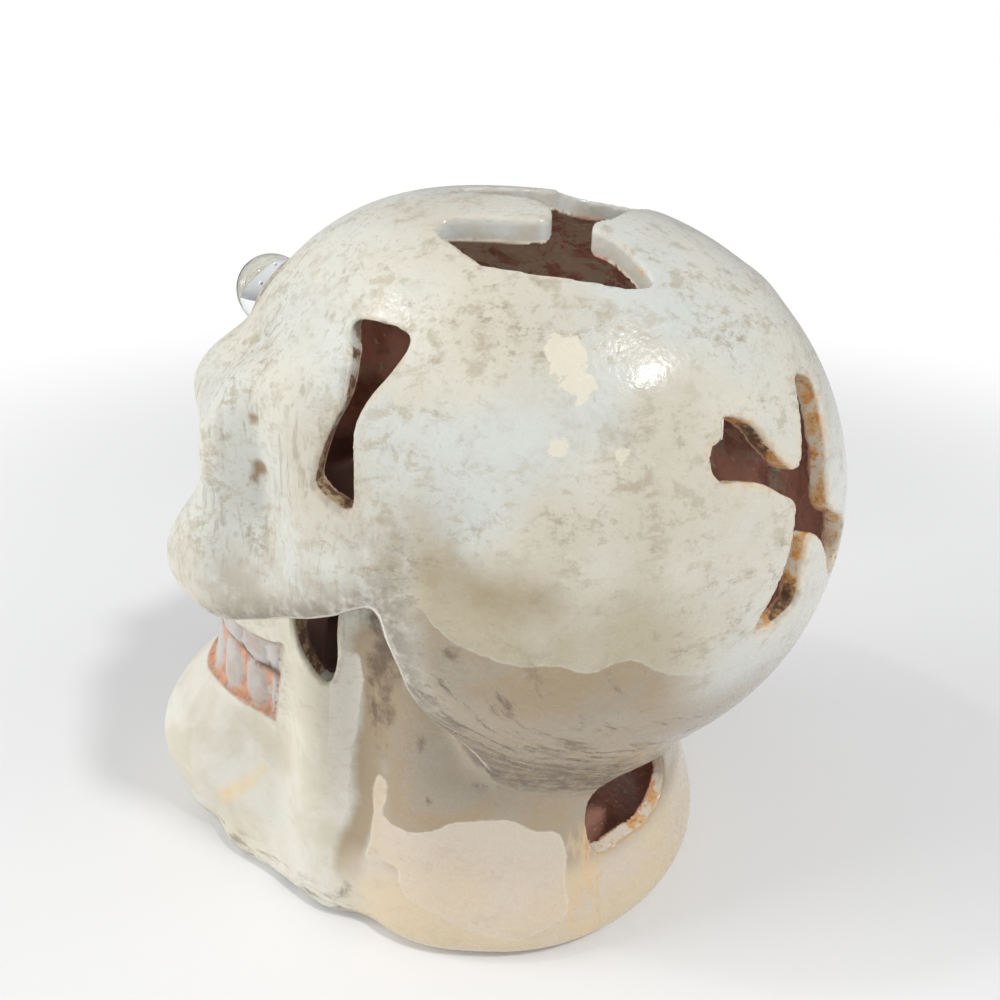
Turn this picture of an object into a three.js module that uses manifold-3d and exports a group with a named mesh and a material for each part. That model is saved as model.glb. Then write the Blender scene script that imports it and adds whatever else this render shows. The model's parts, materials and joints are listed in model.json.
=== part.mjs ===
// Skull candle holder: a hollow glazed skull that stands over a tea light.
// Millimetres, +Z up, the face looks along -Y, the origin is on the table under the middle.
import * as THREE from 'three';
import { mergeVertices } from 'three/addons/utils/BufferGeometryUtils.js';
import Module from 'manifold-3d';

const wasm = await Module();
wasm.setup();

// Overall sizes of the skull
const skullHalfWidth = 75;
const skullHalfLength = 107;
const skullHeight = 200;
const wallThickness = 5;
const floorThickness = 5;
const footHoleRadius = 36;
const footHoleCentreY = 2;
const footRounding = 7;

// Radii of the rounded forms that are laid along a line
const browRadius = 8;
const browEndRadius = 9;
const orbitWallRadius = 9.5;
const cheekArchRadius = 11.5;
const noseBridgeRadius = 7.5;
const templeSwellRadius = 9.5;
const ramusTopRadius = 9;
const ramusFootRadius = 16.5;
const neckSideTopRadius = 11;
const neckSideFootRadius = 15;

// Widths over which one form melts into the next
const foreheadBlend = 22;
const browBlend = 14;
const cheekBlend = 12;
const archBlend = 16;
const templeBlend = 18;
const grooveBlend = 12;
const socketBlend = 12;
const ramusBlend = 9;
const neckBlend = 16;
const crownBlend = 8;

// Foot of the neck and jaw: two rounds in plan, joined by straight sides
const neckRoundRadius = 67.5;
const neckRoundCentreY = 13.5;
const jawRoundRadius = 44;
const jawRoundCentreY = -63.5;
const neckOverlap = 15;

// Teeth
const toothArchCentreY = -46.5;
const toothArchRadius = 34;
const toothBottomHeight = 50.5;
const biteHeight = 71.5;
const toothTopHeight = 87;
const toothGrooveWidth = 1.6;
const toothGrooveReach = 12;
const toothLean = 5.4;
const toothEndAngle = 8;
const toothEdgeAngles = [4, 21, 37, 54, 72];

// Openings: the size of each one across and along
const templeOpening = { width: 17.8, height: 34 };
const rearOpening = { width: 52, height: 52.4 };
const topOpening = { width: 60, length: 49 };
const neckOpening = { width: 33, height: 29 };
const jawOpening = { width: 10.5, height: 26 };
const eyeOpening = { width: 31, height: 27 };
const noseOpening = { width: 20, height: 25 };
const cutReach = 26;
const topCutReach = 24;
const faceCutReach = 60;
const eyeCutDepth = 34;

// Glass ball in the forehead and the ring of cement that beds it
const ballRadius = 10;
const ballElevation = 34;
const cementThickness = 1.2;
const cementWidth = 4.6;
const seatGap = 0.3;

// Felt pads under the foot
const padRadius = 6;
const padThickness = 0.8;
const padEdgeInset = 14;

// Tea light
const cupRadius = 19;
const cupHeight = 17;
const cupWall = 0.5;
const cupTaper = 0.8;
const cupLip = 0.9;
const waxDepth = 12;
const meltDip = 0.8;
const wickRadius = 1;
const wickProud = 7;
const tabRadius = 6;
const tabThickness = 0.5;
const sleeveHeight = 3;

// Mesh densities
const helmetColumns = 64;
const helmetRows = 36;
const jawColumns = 56;
const hollowColumns = 32;
const hollowRows = 16;
const marchSteps = 70;
const marchRate = 0.8;
const outlineSamples = 1.3;
const biteSegments = 16;
const holeSegments = 48;
const seatSegments = 24;
const cementSteps = 3;
const cupSegments = 40;
const padSegments = 24;
const wickSegments = 8;

// Places in the skull, as shares of its half width, half length and height
const craniumCentreShares = [0, 0.248, 0.6];
const craniumRadiusShares = [0.993, 0.757, 0.4];
const foreheadCentreShares = [0, -0.079, 0.62];
const foreheadRadiusShares = [0.8, 0.509, 0.36];
const browMiddleShares = [0, -0.463, 0.75];
const browArchShares = [0.32, -0.463, 0.765];
const browEndShares = [0.627, -0.322, 0.755];
const orbitTopShares = [0.64, -0.322, 0.75];
const orbitFootShares = [0.627, -0.397, 0.64];
const cheekboneCentreShares = [0.56, -0.416, 0.585];
const cheekboneRadiusShares = [0.253, 0.196, 0.0775];
const archFrontShares = [0.613, -0.341, 0.57];
const archRearShares = [0.773, -0.023, 0.615];
const noseRootShares = [0, -0.481, 0.76];
const noseTipShares = [0, -0.603, 0.655];
const upperJawCentreShares = [0, -0.397, 0.56];
const upperJawRadiusShares = [0.48, 0.327, 0.1];
const templeTopShares = [0.64, -0.192, 0.78];
const templeFootShares = [0.667, -0.154, 0.66];
const grooveCentreShares = [0.933, -0.313, 0.75];
const grooveRadiusShares = [0.173, 0.075, 0.13];
const socketCentreShares = [0.327, -0.68, 0.675];
const socketRadiusShares = [0.213, 0.224, 0.075];
const cheekEdgeShares = [0, -0.491, 0.51];
const creaseShares = [0, 0.051, 0.56];
const ramusTopShares = [0.627, -0.22, 0.56];
const ramusFootShares = [0.573, -0.248, 0];
const neckSideTopShares = [0.587, 0.014, 0.5];
const neckSideFootShares = [0.613, 0.014, 0];
const helmetCentreShares = [0, 0.14, 0.65];
const jawAxisShares = [0, 0.1, 0];
const cheekEdgeRise = 0.345;
const creaseLean = -0.353;

// Profiles up the neck and jaw: height share, then the share of the radius or centre it changes
const neckRadiusShares = [[0, 1], [0.04, 1], [0.14, 0.911], [0.275, 0.837], [0.45, 0.8], [0.7, 0.8]];
const jawRadiusShares = [[0, 0.909], [0.05, 0.943], [0.135, 1], [0.19, 0.966], [0.235, 0.886],
  [0.285, 0.852], [0.34, 0.807], [0.5, 0.761], [0.7, 0.66]];
const jawCentreShares = [[0, 1], [0.135, 1], [0.19, 0.936], [0.235, 0.856], [0.285, 0.744],
  [0.5, 0.712], [0.7, 0.68]];
const hollowRowShares = [0, 0.03, 0.1, 0.25, 0.4, 0.55, 0.7, 0.85, 1];
const jawRowShares = [0, 0.006, 0.018, 0.036, 0.08, 0.135, 0.18, 0.225, 0.27, 0.33, 0.4, 0.47, 0.53,
  0.58, 0.63, 0.675];

// Outlines of the openings, as shares of each opening's own size, across then up
const templeOutlineShares = [[-0.18, 0.5], [0.13, 0.5], [0.49, 0.45], [0.5, 0.4], [0.34, 0.27],
  [0.07, 0.1], [-0.05, -0.05], [-0.03, -0.3], [-0.05, -0.5], [-0.25, -0.48], [-0.5, -0.38],
  [-0.49, -0.31], [-0.35, -0.08], [-0.19, 0.1], [-0.18, 0.32], [-0.26, 0.46]];
const rearOutlineShares = [[-0.39, 0.44], [-0.42, 0.37], [-0.48, 0.34], [-0.5, 0.26], [-0.47, 0.21],
  [-0.38, 0.19], [-0.29, 0.16], [-0.19, 0.09], [-0.11, 0.03], [-0.12, -0.06], [-0.2, -0.27],
  [-0.32, -0.47], [-0.31, -0.5], [-0.18, -0.48], [-0.07, -0.43], [-0.07, -0.28], [-0.02, -0.14],
  [0.07, -0.18], [0.18, -0.31], [0.28, -0.44], [0.44, -0.45], [0.5, -0.36], [0.38, -0.2], [0.2, -0.1],
  [0.16, -0.03], [0.22, 0.23], [0.26, 0.39], [0.25, 0.46], [0.12, 0.5], [0.07, 0.41], [0.02, 0.28],
  [-0.04, 0.17], [-0.09, 0.16], [-0.14, 0.2], [-0.21, 0.29], [-0.28, 0.4]];
const topOutlineShares = [[0.32, -0.5], [0.39, -0.41], [0.47, -0.26], [0.49, -0.05], [0.49, 0.17],
  [0.47, 0.37], [0.42, 0.45], [0.34, 0.37], [0.28, 0.28], [0.24, 0.18], [0.18, 0.18], [0.1, 0.26],
  [-0.03, 0.32], [-0.17, 0.4], [-0.32, 0.5], [-0.38, 0.48], [-0.47, 0.34], [-0.5, 0.17], [-0.47, 0.03],
  [-0.37, -0.05], [-0.25, -0.05], [-0.15, -0.15], [-0.1, -0.34], [-0.07, -0.48], [-0.02, -0.46],
  [0, -0.28], [0.05, -0.09], [0.13, -0.02], [0.22, -0.04], [0.24, -0.19], [0.24, -0.4], [0.26, -0.49]];
const neckOutlineShares = [[-0.5, -0.46], [-0.49, 0.37], [-0.25, 0.5], [0.27, 0.26], [0.5, -0.27],
  [0.36, -0.42], [0.11, -0.5], [-0.19, -0.48]];
const jawOutlineShares = [[-0.48, 0.5], [-0.5, -0.05], [-0.2, -0.3], [0.2, -0.5], [0.42, -0.3],
  [0.5, 0.05], [0.5, 0.5]];
const eyeOutlineShares = [[-0.42, 0.28], [-0.12, 0.46], [0.24, 0.47], [0.47, 0.24], [0.5, -0.1],
  [0.33, -0.41], [0, -0.5], [-0.34, -0.38], [-0.5, -0.05]];
const noseOutlineShares = [[0, 0.5], [0.17, 0.34], [0.33, 0], [0.5, -0.3], [0.36, -0.5], [0.12, -0.42],
  [0, -0.28], [-0.12, -0.42], [-0.36, -0.5], [-0.5, -0.3], [-0.33, 0], [-0.17, 0.34]];
const templeCentreShares = [0.783, -0.046, 0.807];
const rearCentreShares = [0.533, 0.818, 0.7055];
const topCentreShares = [0.13, 0.276, 0.97];
const neckCentreShares = [0.485, 0.57, 0.212];
const jawGapCentreShares = [0.73, -0.205, 0.498];
const eyeCentreShares = [0.345, -0.53, 0.682];
const noseCentreShares = [0, -0.6, 0.587];

const place = ([x, y, z]) => new THREE.Vector3(x * skullHalfWidth, y * skullHalfLength, z * skullHeight);

// Distances to the plain forms
function ellipsoid(p, centre, radii) {
  const q = p.clone().sub(centre).divide(radii);
  const inner = q.length();
  const slope = q.divide(radii).length();
  return slope === 0 ? -Math.min(radii.x, radii.y, radii.z) : inner * (inner - 1) / slope;
}

function capsule(p, from, to, startRadius, endRadius = startRadius) {
  const along = to.clone().sub(from);
  const step = p.clone().sub(from);
  const share = THREE.MathUtils.clamp(step.dot(along) / along.lengthSq(), 0, 1);
  const radius = THREE.MathUtils.lerp(startRadius, endRadius, share);
  return step.sub(along.multiplyScalar(share)).length() - radius;
}

function join(a, b, width) {
  const overlap = Math.max(width - Math.abs(a - b), 0) / width;
  return Math.min(a, b) - overlap * overlap * width / 4;
}

const meet = (a, b, width) => -join(-a, -b, width);
const carve = (a, b, width) => meet(a, -b, width);

// Height of a smooth curve through the pairs of a profile
function profile(pairs, at) {
  const last = pairs.length - 1;
  if (at <= pairs[0][0]) return pairs[0][1];
  if (at >= pairs[last][0]) return pairs[last][1];
  const i = pairs.findIndex((pair) => pair[0] > at) - 1;
  const slopeAt = (k) => {
    const before = pairs[Math.max(k - 1, 0)];
    const after = pairs[Math.min(k + 1, last)];
    return (after[1] - before[1]) / (after[0] - before[0]);
  };
  const gap = pairs[i + 1][0] - pairs[i][0];
  const t = (at - pairs[i][0]) / gap;
  const rise = t * t * (3 - 2 * t);
  const leave = t * (1 - t) * (1 - t) * gap * slopeAt(i);
  const arrive = t * t * (t - 1) * gap * slopeAt(i + 1);
  return THREE.MathUtils.lerp(pairs[i][1], pairs[i + 1][1], rise) + leave + arrive;
}

const forms = {
  cranium: [place(craniumCentreShares), place(craniumRadiusShares)],
  forehead: [place(foreheadCentreShares), place(foreheadRadiusShares)],
  cheekbone: [place(cheekboneCentreShares), place(cheekboneRadiusShares)],
  upperJaw: [place(upperJawCentreShares), place(upperJawRadiusShares)],
  groove: [place(grooveCentreShares), place(grooveRadiusShares)],
  socket: [place(socketCentreShares), place(socketRadiusShares)],
  browInner: [place(browMiddleShares), place(browArchShares), browRadius],
  browOuter: [place(browArchShares), place(browEndShares), browRadius, browEndRadius],
  orbitWall: [place(orbitTopShares), place(orbitFootShares), orbitWallRadius],
  arch: [place(archFrontShares), place(archRearShares), cheekArchRadius],
  nose: [place(noseRootShares), place(noseTipShares), noseBridgeRadius],
  temple: [place(templeTopShares), place(templeFootShares), templeSwellRadius],
  ramus: [place(ramusTopShares), place(ramusFootShares), ramusTopRadius, ramusFootRadius],
  neckSide: [place(neckSideTopShares), place(neckSideFootShares), neckSideTopRadius, neckSideFootRadius],
};
const cheekEdge = place(cheekEdgeShares);
const crease = place(creaseShares);

// Distance to the head without its jaw, the same on both sides
function helmetField(point) {
  const p = point.clone();
  p.x = Math.abs(p.x);
  let d = join(ellipsoid(p, ...forms.cranium), ellipsoid(p, ...forms.forehead), foreheadBlend);
  d = join(d, capsule(p, ...forms.browInner), browBlend);
  d = join(d, capsule(p, ...forms.browOuter), browBlend);
  d = join(d, capsule(p, ...forms.orbitWall), cheekBlend);
  d = join(d, ellipsoid(p, ...forms.cheekbone), cheekBlend);
  d = join(d, capsule(p, ...forms.arch), archBlend);
  d = join(d, capsule(p, ...forms.nose), cheekBlend);
  d = join(d, ellipsoid(p, ...forms.upperJaw), browBlend);
  d = join(d, capsule(p, ...forms.temple), templeBlend);
  d = carve(d, ellipsoid(p, ...forms.groove), grooveBlend);
  return carve(d, ellipsoid(p, ...forms.socket), socketBlend);
}

// Height over the slanted lower edge of the cheeks
const overCheekEdge = (p) => (
  (p.z - cheekEdge.z - (p.y - cheekEdge.y) * cheekEdgeRise) / Math.hypot(1, cheekEdgeRise)
);

// Distance to the neck and jaw, which stand on the table
function jawField(point) {
  const x = Math.abs(point.x);
  const share = point.z / skullHeight;
  const neckRadius = neckRoundRadius * profile(neckRadiusShares, share);
  const jawRadius = jawRoundRadius * profile(jawRadiusShares, share);
  const reach = neckRoundCentreY - jawRoundCentreY * profile(jawCentreShares, share);
  const taper = (neckRadius - jawRadius) / reach;
  const square = Math.sqrt(1 - taper * taper);
  const ahead = neckRoundCentreY - point.y;
  const along = square * ahead - taper * x;
  let d = square * x + taper * ahead - neckRadius;
  if (along < 0) d = Math.hypot(x, ahead) - neckRadius;
  if (along > square * reach) d = Math.hypot(x, ahead - reach) - jawRadius;
  const p = new THREE.Vector3(x, point.y, point.z);
  d = join(d, capsule(p, ...forms.ramus), ramusBlend);
  d = join(d, capsule(p, ...forms.neckSide), neckBlend);
  d = meet(d, overCheekEdge(p) - neckOverlap, crownBlend);
  return meet(d, -point.z, footRounding);
}

// The outermost point of a form along a ray, or of a form that lies level millimetres inside it
function surfacePoint(field, origin, direction, level) {
  let t = 2 * skullHeight;
  for (let i = 0; i < marchSteps; i += 1) {
    const d = field(origin.clone().addScaledVector(direction, t)) + level;
    t = Math.max(t - marchRate * d, 0);
  }
  return origin.clone().addScaledVector(direction, t);
}

// A closed skin from rings of points, with one point at each end
function skin(first, rings, last) {
  const columns = rings[0].length;
  const points = [first, ...rings.flat(), last];
  const index = [];
  const at = (ring, column) => 1 + ring * columns + (column % columns);
  for (let c = 0; c < columns; c += 1) {
    index.push(0, at(0, c + 1), at(0, c));
    for (let r = 0; r + 1 < rings.length; r += 1) {
      index.push(at(r, c), at(r, c + 1), at(r + 1, c + 1), at(r, c), at(r + 1, c + 1), at(r + 1, c));
    }
    index.push(points.length - 1, at(rings.length - 1, c), at(rings.length - 1, c + 1));
  }
  const geometry = new THREE.BufferGeometry().setFromPoints(points);
  geometry.setIndex(index);
  return geometry;
}

const around = (column, columns) => column / columns * 2 * Math.PI;

function roundSkin(field, centre, columns, rows, level) {
  const rings = [];
  for (let r = 1; r < rows; r += 1) {
    const tilt = (r / rows - 0.5) * Math.PI;
    rings.push(Array.from({ length: columns }, (_, c) => surfacePoint(field, centre, new THREE.Vector3(
      Math.cos(around(c, columns)) * Math.cos(tilt),
      Math.sin(around(c, columns)) * Math.cos(tilt),
      Math.sin(tilt),
    ), level)));
  }
  const down = surfacePoint(field, centre, new THREE.Vector3(0, 0, -1), level);
  const up = surfacePoint(field, centre, new THREE.Vector3(0, 0, 1), level);
  return skin(down, rings, up);
}

function standingSkin(field, axis, heights, columns, level) {
  const rings = heights.map((height) => {
    const origin = new THREE.Vector3(axis.x, axis.y, height);
    return Array.from({ length: columns }, (_, c) => surfacePoint(field, origin, new THREE.Vector3(
      Math.cos(around(c, columns)),
      Math.sin(around(c, columns)),
      0,
    ), level));
  });
  const end = (height) => new THREE.Vector3(axis.x, axis.y, height);
  return skin(end(heights[0]), rings, end(heights[heights.length - 1]));
}

// Solids for cutting and joining
function merged(geometry) {
  const bare = geometry.clone();
  bare.deleteAttribute('normal');
  bare.deleteAttribute('uv');
  return mergeVertices(bare);
}

function solid(geometry) {
  const closed = merged(geometry);
  return new wasm.Manifold(new wasm.Mesh({
    numProp: 3,
    vertProperties: new Float32Array(closed.attributes.position.array),
    triVerts: new Uint32Array(closed.index.array),
  }));
}

function geometryOf(body) {
  const mesh = body.getMesh();
  const geometry = new THREE.BufferGeometry();
  geometry.setAttribute('position', new THREE.BufferAttribute(new Float32Array(mesh.vertProperties), 3));
  geometry.setIndex(new THREE.BufferAttribute(new Uint32Array(mesh.triVerts), 1));
  return geometry;
}

// A closed smooth outline through points given as shares of a width and a height
function outline(shares, width, height) {
  const points = shares.map(([across, up]) => new THREE.Vector3(across * width, up * height, 0));
  const curve = new THREE.CatmullRomCurve3(points, true, 'centripetal');
  const count = Math.round(points.length * outlineSamples);
  return new THREE.Shape(curve.getPoints(count).slice(0, count).map((p) => new THREE.Vector2(p.x, p.y)));
}

// A punch with the outline as its section, standing on a plane that faces along outward
function punch(shape, centre, outward, upward, inside, outside) {
  const geometry = new THREE.ExtrudeGeometry(shape, { depth: inside + outside, bevelEnabled: false });
  geometry.translate(0, 0, -inside);
  const z = outward.clone().normalize();
  const x = new THREE.Vector3().crossVectors(upward, z).normalize();
  const y = new THREE.Vector3().crossVectors(z, x);
  geometry.applyMatrix4(new THREE.Matrix4().makeBasis(x, y, z).setPosition(centre));
  return geometry;
}

function mirrored(geometry) {
  const copy = merged(geometry);
  copy.scale(-1, 1, 1);
  const index = copy.index.array;
  for (let i = 0; i < index.length; i += 3) [index[i], index[i + 1]] = [index[i + 1], index[i]];
  return copy;
}

const up = new THREE.Vector3(0, 0, 1);
const sideward = new THREE.Vector3(1, 0, 0);
const rearward = new THREE.Vector3(0, 1, 0);
const forward = new THREE.Vector3(0, -1, 0);
const rearOpeningFacing = new THREE.Vector3(0.62, 0.74, 0.26);
const neckOpeningFacing = new THREE.Vector3(0.64, 0.77, 0);

function openings() {
  const shape = (shares, size) => outline(shares, size.width, size.height ?? size.length);
  const pairs = [
    punch(shape(templeOutlineShares, templeOpening), place(templeCentreShares),
      sideward, up, cutReach, cutReach),
    punch(shape(rearOutlineShares, rearOpening), place(rearCentreShares),
      rearOpeningFacing, up, cutReach, cutReach),
    punch(shape(neckOutlineShares, neckOpening), place(neckCentreShares),
      neckOpeningFacing, up, cutReach, cutReach),
    punch(shape(jawOutlineShares, jawOpening), place(jawGapCentreShares),
      sideward, up, cutReach, wallThickness),
    punch(shape(eyeOutlineShares, eyeOpening), place(eyeCentreShares),
      forward, up, eyeCutDepth, faceCutReach),
  ];
  const single = [
    punch(shape(topOutlineShares, topOpening), place(topCentreShares),
      up, rearward, topCutReach, topCutReach),
    punch(shape(noseOutlineShares, noseOpening), place(noseCentreShares),
      forward, up, cutReach, faceCutReach),
  ];
  return [...pairs, ...pairs.map(mirrored), ...single];
}

// Narrow grooves between the teeth, and one along the bite
function toothGrooves() {
  const height = toothTopHeight - toothBottomHeight;
  const upright = (angle) => {
    const bar = new THREE.BoxGeometry(toothGrooveReach, toothGrooveWidth, height);
    bar.translate(toothGrooveReach / 2, 0, 0);
    bar.rotateY(THREE.MathUtils.degToRad(-toothLean));
    bar.translate(toothArchRadius, 0, toothBottomHeight + height / 2);
    bar.rotateZ(THREE.MathUtils.degToRad(angle));
    bar.translate(0, toothArchCentreY, 0);
    return bar;
  };
  const angles = [-90, ...toothEdgeAngles.flatMap((angle) => [-angle, angle - 180])];
  const bite = new THREE.Shape();
  const start = THREE.MathUtils.degToRad(-180 - toothEndAngle);
  const finish = THREE.MathUtils.degToRad(toothEndAngle);
  bite.absarc(0, 0, toothArchRadius + toothGrooveReach, start, finish, false);
  bite.absarc(0, 0, toothArchRadius, finish, start, true);
  const slot = new THREE.ExtrudeGeometry(bite, {
    depth: toothGrooveWidth, bevelEnabled: false, curveSegments: biteSegments,
  });
  slot.translate(0, toothArchCentreY, biteHeight - toothGrooveWidth / 2);
  return [...angles.map(upright), slot];
}

// The shell: outer skin less the hollow, the openings, the foot hole and the seat of the ball
const helmetCentre = place(helmetCentreShares);
const jawAxis = place(jawAxisShares);
const ballDirection = new THREE.Vector3(
  0,
  -Math.cos(THREE.MathUtils.degToRad(ballElevation)),
  Math.sin(THREE.MathUtils.degToRad(ballElevation)),
);
const ballCentre = surfacePoint(helmetField, helmetCentre, ballDirection, 0);
const cementInnerRadius = ballRadius + seatGap;
const cementOuterRadius = cementInnerRadius + cementThickness;

// The wedge under the cheeks and before the crease, where the jaw shows
function underCheekWedge(inset) {
  const shape = new THREE.Shape();
  const run = 2 * skullHalfLength;
  const corner = new THREE.Vector2(
    (crease.y + creaseLean * (cheekEdge.z - crease.z - cheekEdgeRise * cheekEdge.y))
      / (1 - creaseLean * cheekEdgeRise),
    0,
  );
  corner.y = cheekEdge.z + (corner.x - cheekEdge.y) * cheekEdgeRise;
  shape.moveTo(corner.x + inset, corner.y + inset);
  shape.lineTo(corner.x + inset - run, corner.y + inset - run * cheekEdgeRise);
  shape.lineTo(corner.x + inset - run, -run);
  shape.lineTo(corner.x + inset - creaseLean * (corner.y + run), -run);
  const geometry = new THREE.ExtrudeGeometry(shape, { depth: 2 * run, bevelEnabled: false });
  geometry.translate(0, 0, -run);
  geometry.applyMatrix4(new THREE.Matrix4().makeBasis(rearward, up, sideward));
  return geometry;
}

function skullShell() {
  const heights = jawRowShares.map((share) => share * skullHeight);
  const top = heights[heights.length - 1] - wallThickness;
  const hollowHeights = hollowRowShares.map((share) => THREE.MathUtils.lerp(floorThickness, top, share));
  const outer = solid(roundSkin(helmetField, helmetCentre, helmetColumns, helmetRows, 0))
    .subtract(solid(underCheekWedge(0)))
    .add(solid(standingSkin(jawField, jawAxis, heights, jawColumns, 0)));
  const hollow = solid(roundSkin(helmetField, helmetCentre, hollowColumns, hollowRows, wallThickness))
    .subtract(solid(underCheekWedge(wallThickness)))
    .add(solid(standingSkin(jawField, jawAxis, hollowHeights, hollowColumns, wallThickness)));
  const footHole = new THREE.CylinderGeometry(footHoleRadius, footHoleRadius, 2 * cutReach, holeSegments);
  footHole.rotateX(Math.PI / 2);
  footHole.translate(0, footHoleCentreY, 0);
  const seat = new THREE.SphereGeometry(cementOuterRadius + seatGap, seatSegments, seatSegments / 2);
  seat.translate(ballCentre.x, ballCentre.y, ballCentre.z);
  const cuts = [...openings(), ...toothGrooves(), footHole, seat];
  return geometryOf(cuts.reduce((body, cut) => body.subtract(solid(cut)), outer.subtract(hollow)));
}

// A turned piece from its section, given as radius and height pairs
function turned(section, segments) {
  const geometry = new THREE.LatheGeometry(section.map(([r, h]) => new THREE.Vector2(r, h)), segments);
  geometry.rotateX(Math.PI / 2);
  return geometry;
}

function cementRing() {
  const bottom = -Math.asin(cementWidth / cementInnerRadius);
  const arc = (radius) => Array.from({ length: cementSteps + 1 }, (_, i) => {
    const angle = THREE.MathUtils.lerp(bottom, 0, i / cementSteps);
    return [radius * Math.cos(angle), radius * Math.sin(angle)];
  });
  const outer = arc(cementOuterRadius);
  return turned([...outer, ...arc(cementInnerRadius).reverse(), outer[0]], seatSegments);
}

function cup() {
  const inner = cupRadius - cupWall;
  return turned([
    [0, 0],
    [cupRadius - cupTaper, 0],
    [cupRadius, cupHeight - cupLip],
    [cupRadius + cupLip, cupHeight - cupLip / 2],
    [cupRadius, cupHeight],
    [inner, cupHeight - cupLip / 2],
    [inner - cupTaper, cupWall],
    [0, cupWall],
  ], cupSegments);
}

const wickHole = wickRadius + seatGap;
const sleeveRadius = wickHole + tabThickness;
const tabBase = cupWall + seatGap;
const waxTop = cupWall + waxDepth;

function wickTab() {
  return turned([
    [wickHole, tabBase],
    [tabRadius, tabBase],
    [tabRadius, tabBase + tabThickness],
    [sleeveRadius, tabBase + tabThickness],
    [sleeveRadius, tabBase + sleeveHeight],
    [wickHole, tabBase + sleeveHeight],
    [wickHole, tabBase],
  ], wickSegments * 2);
}

function wax() {
  const rim = cupRadius - cupWall - cupTaper - seatGap;
  const pocket = tabRadius + seatGap;
  const throat = sleeveRadius + seatGap;
  const pocketTop = tabBase + tabThickness + seatGap;
  const throatTop = tabBase + sleeveHeight + seatGap;
  return turned([
    [pocket, tabBase],
    [rim, tabBase],
    [rim, waxTop],
    [wickHole, waxTop - meltDip],
    [wickHole, throatTop],
    [throat, throatTop],
    [throat, pocketTop],
    [pocket, pocketTop],
    [pocket, tabBase],
  ], cupSegments);
}

function disc(radius, bottom, top, segments) {
  const geometry = new THREE.CylinderGeometry(radius, radius, top - bottom, segments);
  geometry.rotateX(Math.PI / 2);
  geometry.translate(0, 0, (top + bottom) / 2);
  return geometry;
}

function finish(color, roughness, metalness) {
  return new THREE.MeshStandardMaterial({ color, roughness, metalness });
}

function named(name, geometry, material) {
  const mesh = new THREE.Mesh(geometry, material);
  mesh.name = name;
  return mesh;
}

// Head: shell, glass ball and its cement, lifted by the pads that it stands on
const standHeight = padThickness + seatGap;
const head = new THREE.Group();
head.position.z = standHeight;
head.add(named('skull_shell', skullShell(), finish('#d9d3c0', 0.2, 0)));

const ballTurn = new THREE.Quaternion().setFromUnitVectors(up, ballDirection);
const ball = named('forehead_ball', new THREE.SphereGeometry(ballRadius, seatSegments, seatSegments / 2),
  finish('#dfe8ea', 0.03, 0));
const cement = named('ball_cement', cementRing(), finish('#b9b3a4', 0.6, 0));
for (const piece of [ball, cement]) {
  piece.position.copy(ballCentre);
  piece.quaternion.copy(ballTurn);
  head.add(piece);
}

// Pads, set in from the edge of the foot
const padPlaces = [
  ['foot_pad_rear_left', 38],
  ['foot_pad_rear_right', 142],
  ['foot_pad_front_right', 248],
  ['foot_pad_front_left', 292],
];
const pads = padPlaces.map(([name, angle]) => {
  const turn = THREE.MathUtils.degToRad(angle);
  const direction = new THREE.Vector3(Math.cos(turn), Math.sin(turn), 0);
  const level = new THREE.Vector3(jawAxis.x, jawAxis.y, footRounding);
  const spot = surfacePoint(jawField, level, direction, 0).addScaledVector(direction, -padEdgeInset);
  const pad = named(name, disc(padRadius, 0, padThickness, padSegments), finish('#3b342d', 0.95, 0));
  pad.position.set(spot.x, spot.y, 0);
  return pad;
});

// Tea light, standing on the table in the foot hole
const candle = new THREE.Group();
candle.position.y = footHoleCentreY;
candle.add(
  named('candle_cup', cup(), finish('#b9bbbd', 0.35, 1)),
  named('wick_tab', wickTab(), finish('#a9abad', 0.4, 1)),
  named('candle_wax', wax(), finish('#efe8d6', 0.45, 0)),
  named('wick', disc(wickRadius, tabBase, waxTop + wickProud, wickSegments), finish('#e6e0d2', 0.9, 0)),
);

const group = new THREE.Group();
group.add(head, ...pads, candle);

export default group;
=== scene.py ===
# Looks of the glazed skull candle holder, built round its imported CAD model.
import json
import math

import bmesh
import bpy
import numpy as np
from mathutils import Matrix, Vector

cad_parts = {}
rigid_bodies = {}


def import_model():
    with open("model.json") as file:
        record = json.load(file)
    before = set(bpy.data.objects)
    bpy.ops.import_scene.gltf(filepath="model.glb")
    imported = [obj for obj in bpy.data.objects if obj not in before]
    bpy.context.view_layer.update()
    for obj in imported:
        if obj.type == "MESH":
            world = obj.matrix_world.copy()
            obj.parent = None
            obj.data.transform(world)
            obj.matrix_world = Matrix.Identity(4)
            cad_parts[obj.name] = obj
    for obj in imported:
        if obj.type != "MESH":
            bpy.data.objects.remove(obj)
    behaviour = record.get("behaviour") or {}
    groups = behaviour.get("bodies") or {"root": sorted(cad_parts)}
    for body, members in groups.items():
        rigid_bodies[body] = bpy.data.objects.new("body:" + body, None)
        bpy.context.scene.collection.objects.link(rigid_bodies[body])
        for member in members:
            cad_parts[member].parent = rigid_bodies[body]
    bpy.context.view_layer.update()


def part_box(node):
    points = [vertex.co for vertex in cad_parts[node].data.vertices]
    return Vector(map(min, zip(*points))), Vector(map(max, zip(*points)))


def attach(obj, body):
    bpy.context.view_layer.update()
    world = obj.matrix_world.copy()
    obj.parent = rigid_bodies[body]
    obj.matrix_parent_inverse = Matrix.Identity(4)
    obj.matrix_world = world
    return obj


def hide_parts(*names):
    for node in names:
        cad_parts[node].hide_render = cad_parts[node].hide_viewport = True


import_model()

thousand = 1000  # the skull's own sizes below are in millimetres

# Camera and stage

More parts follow.
